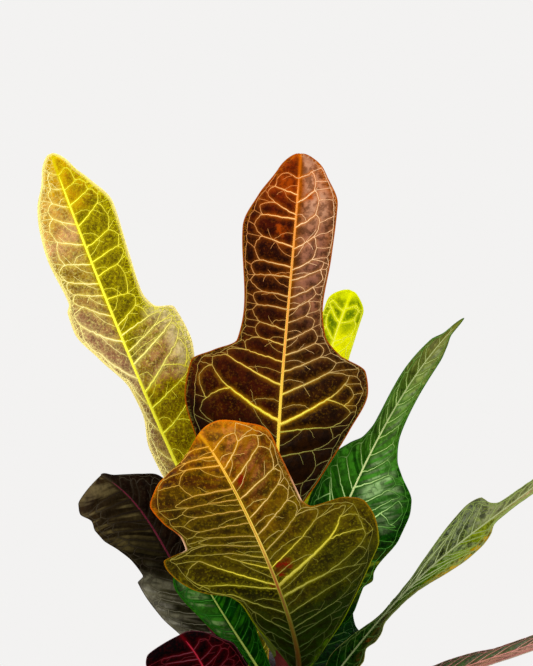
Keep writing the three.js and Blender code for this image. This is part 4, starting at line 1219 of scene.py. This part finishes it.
class Tissue(Tree):
    """A blade's colour, laid on layer by layer; vein and edge are distances in mm."""

    def __init__(self, name):
        super().__init__(f"{name}_blade")
        look = self.look = look_of(name)
        cloud, self.mottle = self.noise(*CLOUD), self.noise(*MOTTLE)
        self.vein, self.edge, self.lateral = self.value("vein"), self.value("edge"), self.value("lateral")
        waver = self.times(self.math("SUBTRACT", cloud, 0.5), WAVER)
        self.along = self.math("ADD", self.value("along"), waver)
        self.sheen_streak = self.streaks(self.value("along"), self.lateral, look["streak_pitch"])
        self.between = self.ramp(self.vein, 0.3, 1.8)
        self.mostly_between = self.ramp(self.between, 0.0, 1.0, 0.2, 1.0)
        self.glow, self.net = self.tint(self.along, look["glow"]), self.tint(self.along, look["net"])
        if look["pale_side"]:
            self.pale_half()

    def pale_half(self):
        """Glow and net are paler on one half of the blade, from a share of it on."""
        look = self.look
        half = self.times(self.lateral, float(look["pale_side"]))
        there = self.times(self.ramp(half, 0.0, 0.2), past_start(self, self.along, look))
        pale = self.tint(self.along, look["pale"])
        self.net = self.mix(self.times(there, look["pale_share"]), self.net, pale)
        self.glow = self.mix(self.times(there, 0.4 * look["pale_share"]), self.glow, pale)

    def ground(self):
        # Tissue colour of each half, with painted sheen on the lighter half of some leaves
        colour = self.bands(self.along, self.look["left"])
        if self.look["right"]:
            right = self.bands(self.along, self.look["right"])
            colour = self.mix(self.ramp(self.lateral, -0.06, 0.08), colour, right)
        return colour

    def sheen_and_tint_layers(self, colour):
        # Painted sheen: pale areas broken by mottles, streaks and veins; a few areas tint the leaf's own
        # colour
        streaky = self.look["streaky"]
        for pale, share, first, last, inner, outer in self.look["sheen_and_tints"]:
            here = self.times(self.ramp(self.along, first - 0.05, first + 0.06),
                              self.ramp(self.along, last - 0.06, last + 0.05, 1.0, 0.0),
                              self.ramp(self.lateral, inner - 0.1, inner + 0.2),
                              self.ramp(self.lateral, outer - 0.25, outer + 0.1, 1.0, 0.0))
            least = (0.5 + 0.4 * streaky) * share
            patchy = self.times(self.ramp(self.mottle, 0.35, 0.65, share, least),
                                self.ramp(self.sheen_streak, 0.35, 0.62, 1.0, 1.0 - streaky), self.mostly_between)
            colour = self.mix(self.times(here, patchy), colour, linear(pale))
        return colour

    def sheen_streaked(self, colour):
        # Painted sheen: lighter streaks on the tissue between the side veins
        look = self.look
        if not look["sheen_streak"]:
            return colour
        lit = self.times(self.ramp(self.sheen_streak, 0.45, 0.58, 0.0, look["streaky"]), self.between)
        if look["streak_side"]:
            lit = self.times(lit, self.ramp(self.lateral, 0.0, 0.12 * look["streak_side"]))
        return self.mix(lit, colour, self.tint(self.along, look["sheen_streak"]))

    def shade(self, colour):
        """Small mottles and wider patches are darker."""
        grey = [1 - self.look["shade"]] * 3 + [1.0]
        dark = self.times(self.ramp(self.mottle, 0.44, 0.6), self.mostly_between)
        patch = self.ramp(self.noise(*PATCHES), 0.46, 0.62, 0.0, self.look["patch"])
        for share, by in ((dark, grey), (self.times(patch, self.between), PATCH_SHADE)):
            colour = self.mix(share, colour, self.mix(1.0, colour, by, "MULTIPLY"))
        return colour

    def wash(self, colour):
        """A stain that fades inwards from the margin, from a share of the blade on."""
        if not self.look["wash"]:
            return colour
        stain, share, width, start = self.look["wash"]
        wash = self.times(self.ramp(self.edge, 0.0, width, share, 0.0),
                          self.ramp(self.along, start - 0.1, start + 0.1),
                          self.ramp(self.mottle, 0.38, 0.6, 1.0, 0.25))
        return self.mix(wash, colour, linear(stain))

    def lights(self, colour):
        """Flecks, a faint halo and a glow beside the veins."""
        wide, share = self.look["glow_mm"], self.look["glow_share"]
        flecks = self.ramp(self.noise(*FLECKS), 0.5, 0.66, 0.0, self.look["fleck"])
        halo = self.times(self.ramp(self.vein, 0.0, 2.6 * wide, 0.5 * share, 0.0),
                          self.ramp(self.mottle, 0.35, 0.6, 1.0, 0.4))
        for layer in (flecks, halo, self.ramp(self.vein, 0.2, wide, share, 0.0)):
            colour = self.mix(layer, colour, self.glow)
        return colour

    def spots(self, colour):
        spot = self.times(self.value("spot"), self.ramp(self.mottle, 0.35, 0.6, 1.15, 0.5))
        return self.mix(self.ramp(spot, 0.25, 0.8, 0.0, 0.9), colour, linear(self.look["spot"]))

    def finest_net(self, colour):
        look = self.look
        shown = self.ramp(self.edge, 1.0, look["beads_mm"], look["beads"], look["cells"])
        self.walls = self.times(self.ramp(self.cells(*NET_CELLS), 0.0, NET_WALL, 1.0, 0.0), shown)
        return self.mix(self.walls, colour, self.net)

    def rims(self, colour):
        """The underside's own colour, and a line along the margin."""
        look = self.look
        under = self.times(self.value("under"), look["under_share"])
        colour = self.mix(under, colour, linear(look["under"]))
        margin = self.ramp(self.edge, 0.0, look["margin_mm"], 0.85, 0.0)
        return self.mix(margin, colour, self.tint(self.along, look["margin"]))


def past_start(tree, along, look):
    return tree.ramp(along, look["pale_from"] - 0.05, look["pale_from"] + 0.1)


def blade_material(name):
    tissue = Tissue(name)
    colour = tissue.ground()
    for layer in (tissue.sheen_and_tint_layers, tissue.sheen_streaked, tissue.shade, tissue.wash, tissue.lights, tissue.spots,
                  tissue.finest_net, tissue.rims):
        colour = layer(colour)
    tissue.bump(tissue.math("SUBTRACT", tissue.times(tissue.mottle, 0.8), tissue.walls), *BLADE_BUMP)
    roughness = tissue.ramp(tissue.mottle, 0.2, 0.8, *BLADE_ROUGHNESS)
    return tissue.finish(tissue.vivid(colour, VIVID), roughness, BLADE_SPECULAR)


def vein_material(name):
    look = look_of(name)
    tree = Tree(f"{name}_veins")
    bare, along = tree.value("tone"), tree.value("along")
    tone = tree.math("ADD", bare, tree.times(tree.noise(60), 0.25))
    rib = tree.mix(tree.ramp(tree.value("crest"), 0.45, 0.88, 0.0, 0.85), tree.bands(along, look["rib"]),
                   tree.tint(along, look["core"]))
    glow = tree.tint(along, look["glow"])
    colour = tree.mix(tree.ramp(bare, 0.04, 0.18), rib, tree.bands(along, look["vein"]))
    colour = tree.mix(tree.ramp(tone, 0.4, 1.0), colour, tree.tint(along, look["net"]))
    if look["pale_side"]:
        near = tree.times(tree.value("side"), float(look["pale_side"]))
        far = tree.times(tree.ramp(near, 0.1, 0.6, 0.0, look["pale_share"]), past_start(tree, along, look))
        colour = tree.mix(far, colour, tree.tint(along, look["pale"]))
    fade = tree.times(tree.ramp(tone, 0.35, 1.0, 0.05, look["net_fade"]),
                      tree.ramp(tree.noise(140), 0.3, 0.7, 0.4, 1.0))
    colour = tree.mix(fade, colour, glow)
    stalk = tree.ramp(bare, -0.3, -0.02, 0.97, 0.0)
    colour = tree.mix(stalk, colour, linear(look["stalk"]) if look["stalk"] else glow)
    tree.bump(tree.noise(VEIN_GRAIN), *VEIN_BUMP)
    return tree.finish(colour, VEIN_ROUGHNESS, VEIN_SPECULAR)


def scaled(outline, factor):
    return [[at, width if at == 0 else width * factor] for at, width in outline]


def skirt_leaf(number):
    """One older leaf: it arches from its rise at the stem to its droop at the tip."""
    share = number / (SKIRT["count"] - 1)
    bearing = SKIRT["first"] + number * SKIRT["turn"]
    east, north = math.cos(math.radians(bearing)), math.sin(math.radians(bearing))
    uneven = math.sin(number * 2.4)
    length = blend(SKIRT["length"], share) * (1 + 0.06 * uneven)
    rise = math.radians(blend(SKIRT["rise"], share) + 4 * uneven)
    droop = math.radians(blend(SKIRT["droop"], share))
    foot_z = blend(SKIRT["foot"], share)
    foot = on_stem(foot_z) + np.array([east, north, 0]) * (stem_radius(foot_z) - LEAF_SEAT)
    midrib = []
    for part in (1 / 3, 2 / 3, 1):
        slope = rise + (droop - rise) * part
        out = length * (math.sin(slope) - math.sin(rise)) / (droop - rise)
        up = length * (math.cos(rise) - math.cos(slope)) / (droop - rise)
        midrib.append([foot[0] + out * east, foot[1] + out * north, foot[2] + up])
    lean = SKIRT["roll"] * math.cos(number * 1.7)
    face = [-north * lean, east * lean, 1]
    plain = number % 3 == 1
    outline = SKIRT["plain"] if plain else SKIRT["lobed"]
    return {
        "name": f"leaf_lower_{number + 1:02d}", "look": SKIRT["looks"][number % len(SKIRT["looks"])],
        "foot": foot_z, "bearing": bearing, "midrib": midrib, "face": [face, face],
        "petiole": SKIRT["petiole"], "left": scaled(outline, 0.94 + 0.06 * uneven),
        "right": scaled(outline, 0.94 - 0.06 * uneven), "wave": [1.5, 3, 0.13 * number], "spacing": 11,
        "strong": [] if plain else [0.26], "veins": SKIRT["veins"],
    }


def add_leaf(spec, seed):
    leaf = Leaf(spec)
    veins = all_veins(leaf, seed)
    samples = vein_samples(leaf, veins)
    tissue, vessel = materials[spec["look"]]
    blade = blade_object(leaf, f"{spec['name']}_blade", samples, tissue)
    ribs = veins_object(leaf, f"{spec['name']}_veins", veins, samples, vessel)
    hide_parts(spec["name"])
    for piece in (blade, ribs):
        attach(piece, BODY)


# Stem

def stem_object():
    """Bark with a swelling and a scar where each leaf stands."""
    sides, rings = 28, 150
    z = np.linspace(STEM_AXIS[0][2], STEM_AXIS[-1][2], rings)
    centre = np.array([on_stem(height) for height in z])
    angle = turn_round(sides)
    radius = stem_radius(z)[:, None] * np.ones(sides)[None, :]
    radius = radius + BARK_RIDGE * np.sin(9 * angle)[None, :] * np.sin(z / 7)[:, None]
    for leaf in [*LEAVES, *skirt]:
        turn = np.angle(np.exp(1j * (angle - math.radians(leaf["bearing"]))))[None, :]
        up = (z - leaf["foot"])[:, None]
        radius = radius + STEM_SWELLING * np.exp(-(turn * 1.6) ** 2 - (up / 2.2) ** 2)
        radius = radius - STEM_SCAR * np.exp(-(up + 4.5) ** 2 / 1.2)
    radius[-1] *= 0.35
    radius[-2] *= 0.75
    compass = np.stack([np.cos(angle), np.sin(angle), 0 * angle], -1)[None, :]
    ring = centre[:, None] + radius[..., None] * compass
    faces = tube_faces(rings, sides).tolist()
    faces.append(list(range(sides))[::-1])
    faces.append(list(range((rings - 1) * sides, rings * sides)))
    return make_object("stem_bark", ring.reshape(-1, 3), faces, bark_material())


def bark_material():
    tree = Tree("stem_bark")
    streaks = tree.noise(90, 5, 0.65, stretch=(1, 1, 0.18))
    flecks = tree.noise(420, 3)
    height = tree.nodes.new("ShaderNodeSeparateXYZ")
    tree.links.new(tree.place, height.inputs[0])
    old = tree.paint("#5d4c36", (tree.ramp(streaks, 0.35, 0.7), "#8d7c5c"),
                     (tree.ramp(flecks, 0.6, 0.75, 0.0, 0.6), "#b8aa8a"))
    young = tree.paint("#281810", (streaks, "#6c0c16"))
    colour = tree.mix(tree.ramp(height.outputs["Z"], 0.2, 0.31), old, young)
    tree.bump(tree.math("ADD", streaks, tree.times(flecks, 0.4)), 0.0008, 0.8)
    return tree.finish(colour, 0.75, 0.1)


# Soil

def soil_height(x, y):
    grain = np.sin(0.11 * x + 1.3) * np.cos(0.13 * y - 0.4) + 0.6 * np.sin(0.23 * x - 0.19 * y)
    mound = SOIL_MOUND * np.exp(-(x * x + y * y) / SOIL_MOUND_RADIUS ** 2)
    return SOIL_LEVEL + SOIL_GRAIN * grain + mound


def soil_object(edge, hole):
    """An uneven bed whose rim goes on down inside the pot."""
    rng = np.random.default_rng(SOIL_SEED)
    rings, sides = 70, 190
    radius, angle = np.linspace(edge, hole, rings), turn_round(sides)
    x, y = radius[:, None] * np.cos(angle)[None, :], radius[:, None] * np.sin(angle)[None, :]
    z = soil_height(x, y)
    for _ in range(SOIL_WAVES["count"]):
        turn, wave, phase = (rng.uniform(*SOIL_WAVES[key]) for key in ("turn", "wave", "phase"))
        height = SOIL_WAVES["height"] / wave ** 0.5
        z = z + height * np.sin(wave * (x * math.cos(turn) + y * math.sin(turn)) + phase)
    top = np.stack([x, y, z], -1).reshape(-1, 3)
    points = np.vstack([top[:sides] - np.array([0, 0, SOIL_SIDE]), top])
    return make_object("soil_bed", points, tube_faces(rings + 1, sides), soil_material())


def soil_material():
    tree = Tree("soil_bed")
    clods, crumbs, bits = tree.noise(70, 4), tree.noise(420, 5, 0.7), tree.noise(900, 2)
    colour = tree.paint("#1f1610", (tree.ramp(clods, 0.35, 0.65), "#33241a"),
                        (tree.ramp(crumbs, 0.5, 0.75), "#4d3829"),
                        (tree.ramp(bits, 0.72, 0.78, 0.0, 0.6), "#8a7458"))
    tree.bump(tree.math("ADD", crumbs, bits), 0.0015, 1.0)
    return tree.finish(colour, 0.95, 0.2)


def crumb_material():
    tree = Tree("soil_crumbs")
    tone = tree.value("tone")
    colour = tree.paint("#20160f", (tree.ramp(tone, 0.0, 0.6), "#5a4230"),
                        (tree.ramp(tone, 0.86, 0.9), "#cfc8ba"))
    tree.bump(tree.noise(700, 4), 0.0006, 1.0)
    return tree.finish(colour, 0.92, 0.2)


def icosahedron():
    """Twelve corners, and twenty faces that turn outwards."""
    golden = (1 + 5 ** 0.5) / 2
    signs = [(a, b) for a in (-1, 1) for b in (-1, 1)]
    corners = unit(np.array([[0, a, b * golden] for a, b in signs] + [[a, b * golden, 0] for a, b in signs]
                            + [[b * golden, 0, a] for a, b in signs], float))
    near = np.linalg.norm(corners[:, None] - corners[None, :], axis=-1) < 1.2
    faces = []
    for a, b, c in combinations(range(12), 3):
        if near[a, b] and near[b, c] and near[a, c]:
            outward = np.dot(np.cross(corners[b] - corners[a], corners[c] - corners[a]), corners[a]) > 0
            faces.append((a, b, c) if outward else (c, b, a))
    return corners, np.array(faces)


def crumbs_object(edge, hole):
    """Crumbs of bark and pale grit lying on the soil."""
    rng = np.random.default_rng(CRUMB_SEED)
    count = CRUMBS
    corners, faces = icosahedron()
    radius = np.sqrt(rng.uniform((hole / edge) ** 2, 1, count)) * (edge - 2)
    angle = rng.uniform(0, 2 * np.pi, count)
    x, y = radius * np.cos(angle), radius * np.sin(angle)
    size = rng.uniform(0.6, 1.9, count) * np.where(rng.uniform(size=count) > 0.93, 1.6, 1)
    shape = corners[None] * rng.uniform(0.6, 1.2, (count, 12, 1)) * size[:, None, None]
    shape = shape * rng.uniform([0.7, 0.7, 0.45], [1.3, 1.3, 0.8], (count, 3))[:, None, :]
    points = shape + np.stack([x, y, soil_height(x, y) + 0.3 * size], -1)[:, None]
    index = faces[None] + 12 * np.arange(count)[:, None, None]
    tone = np.repeat(rng.uniform(size=count), 12)
    return make_object("soil_crumbs", points.reshape(-1, 3), index.reshape(-1, 3), crumb_material(),
                       {"tone": tone})


# Pot

def arc(centre, radius, start, end, count):
    turns = np.radians(np.linspace(start, end, count))
    return [[centre[0] + radius * math.cos(t), centre[1] + radius * math.sin(t)] for t in turns]


def pot_object():
    """A turned pot: its profile runs from the middle of the base, up the outside and down the inside."""
    low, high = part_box("pot")
    height, rim = (high[2] - low[2]) / MM, (high[0] - low[0]) / MM / 2
    base, wall, floor, corner = POT["base"], POT["wall"], POT["floor"], POT["round"]
    shoulder, bend = height - POT["rim_depth"], POT["inner_round"]

    def radius(z, inset=0.0):
        return base + (rim - POT["rim_step"] - base) * z / height - inset

    lip = wall / 2 - 0.5
    profile = [[0, 0], [base - corner, 0], *arc((base - corner + 0.1, corner), corner, -80, -5, 7)[:-1]]
    profile += [[radius(z), z] for z in np.linspace(corner + 2, shoulder - 0.6, 14)]
    profile += [[radius(shoulder) + 0.4, shoulder], [rim - 0.8, shoulder + 0.6], [rim, shoulder + 1.6]]
    profile += [[rim, height - lip - 0.4], *arc((rim - lip, height - lip), lip, 0, 180, 12)[1:]]
    profile += [[radius(z, wall), z] for z in np.linspace(height - 6, floor + 2 * corner, 10)]
    profile += arc((radius(floor + bend, wall + bend), floor + bend), bend, -10, -90, 6)
    body = np.array(profile[1:])
    sides = 160
    angle = turn_round(sides)
    ring = np.stack([body[:, :1] * np.cos(angle), body[:, :1] * np.sin(angle),
                     np.repeat(body[:, 1:], sides, 1)], -1)
    points = np.vstack([ring.reshape(-1, 3), [[0, 0, 0], [0, 0, floor]]])
    count = len(body) * sides
    faces = tube_faces(len(body), sides).tolist()
    faces += [[(j + 1) % sides, j, count] for j in range(sides)]
    faces += [[count - sides + j, count - sides + (j + 1) % sides, count + 1] for j in range(sides)]
    return make_object("pot_body", points, faces, pot_material(), sharp=40)


def pot_material():
    tree = Tree("pot_glaze")
    wash, pores, specks = tree.noise(18, 4), tree.noise(300, 4), tree.cells(210)
    rings = tree.noise(26, 3, 0.5, stretch=(0.15, 0.15, 6))
    colour = tree.paint("#e6e0d5", (tree.ramp(wash, 0.35, 0.7), "#d8d0c2"),
                        (tree.ramp(pores, 0.66, 0.72, 0.0, 0.5), "#8d7f6b"))
    tree.bump(tree.math("ADD", tree.times(rings, 0.8), tree.times(pores, 0.3)), 0.0006, 0.6)
    return tree.finish(colour, tree.ramp(specks, 0.0, 0.2, 0.5, 0.62), 0.4)


# Studio

def floor_object():
    """A pale disc that fades out towards its rim."""
    rings, sides = 24, 96
    r = np.linspace(0.5, FLOOR_RADIUS, rings)
    angle = turn_round(sides)
    ring = np.stack([r[:, None] * np.cos(angle), r[:, None] * np.sin(angle),
                     np.full((rings, sides), FLOOR_LEVEL)], -1)
    tree = Tree("floor")
    radial = tree.nodes.new("ShaderNodeVectorMath")
    radial.operation = "LENGTH"
    tree.links.new(tree.place, radial.inputs[0])
    fade = tree.ramp(radial.outputs["Value"], 0.35, 0.88)
    shader = tree.finish(linear("#e9e7e4"), 0.9, 0.1)
    clear = tree.nodes.new("ShaderNodeBsdfTransparent")
    mix = tree.nodes.new("ShaderNodeMixShader")
    for socket, source in ((0, fade), (1, tree.shader.outputs[0]), (2, clear.outputs[0])):
        tree.links.new(source, mix.inputs[socket])
    tree.links.new(mix.outputs[0], tree.nodes["Material Output"].inputs["Surface"])
    floor = make_object("floor", ring.reshape(-1, 3), tube_faces(rings, sides), shader)


def aim_at(obj, place, target):
    place, target = np.array(place, float), np.array(target, float)
    obj.location = Vector(place * MM)
    obj.rotation_mode = "QUATERNION"
    obj.rotation_quaternion = Vector((target - place) * MM).to_track_quat("-Z", "Y")


def add_light(name, place, size, power):
    data = bpy.data.lights.new(name, "AREA")
    data.shape, data.size, data.energy = "DISK", size, power
    light = bpy.data.objects.new(name, data)
    bpy.context.scene.collection.objects.link(light)
    aim_at(light, place, LIT)


def add_world():
    """A pale surround that lights softly, and shows little in gloss."""
    world = bpy.data.worlds.new("studio")
    bpy.context.scene.world = world
    world.use_nodes = True
    tree = world.node_tree
    tree.nodes["Background"].inputs["Color"].default_value = linear("#f3f2f1")
    shown = tree.nodes.new("ShaderNodeLightPath")
    glossy, seen = tree.nodes.new("ShaderNodeMix"), tree.nodes.new("ShaderNodeMix")
    glossy.inputs["A"].default_value = WORLD_LIGHT
    glossy.inputs["B"].default_value = WORLD_GLOSS
    seen.inputs["B"].default_value = 1.0
    for source, socket in ((shown.outputs["Is Glossy Ray"], glossy.inputs["Factor"]),
                           (shown.outputs["Is Camera Ray"], seen.inputs["Factor"]),
                           (glossy.outputs["Result"], seen.inputs["A"]),
                           (seen.outputs["Result"], tree.nodes["Background"].inputs["Strength"])):
        tree.links.new(source, socket)


def add_camera():
    data = bpy.data.cameras.new("camera")
    data.sensor_width = 36.0
    data.lens = data.sensor_width * CAMERA_MM / PICTURE_MM
    data.clip_start, data.clip_end = 0.05, 100
    camera = bpy.data.objects.new("camera", data)
    bpy.context.scene.collection.objects.link(camera)
    bpy.context.scene.camera = camera
    up = math.radians(CAMERA_ELEVATION)
    aim_at(camera, AIM + CAMERA_MM * np.array([0, -math.cos(up), math.sin(up)]), AIM)


# Assembly

add_camera()
add_world()
for light in LIGHTS:
    add_light(*light)
floor_object()
materials = {name: (blade_material(name), vein_material(name)) for name in LOOKS}
skirt = [skirt_leaf(number) for number in range(SKIRT["count"])]
for number, spec in enumerate(LEAVES):
    add_leaf(spec, number + 1)
for number, spec in enumerate(skirt):
    add_leaf(spec, SKIRT["seed"] + number)

soil_edge = (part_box("soil")[1][0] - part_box("soil")[0][0]) / MM / 2
made = {
    "pot": [pot_object()],
    "stem": [stem_object()],
    "soil": [soil_object(soil_edge, STEM_RADII[0] - 0.6), crumbs_object(soil_edge, STEM_RADII[0] + 1.5)],
}
for node, pieces in made.items():
    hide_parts(node)
    for piece in pieces:
        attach(piece, BODY)

bpy.context.scene.view_settings.view_transform = "Standard"
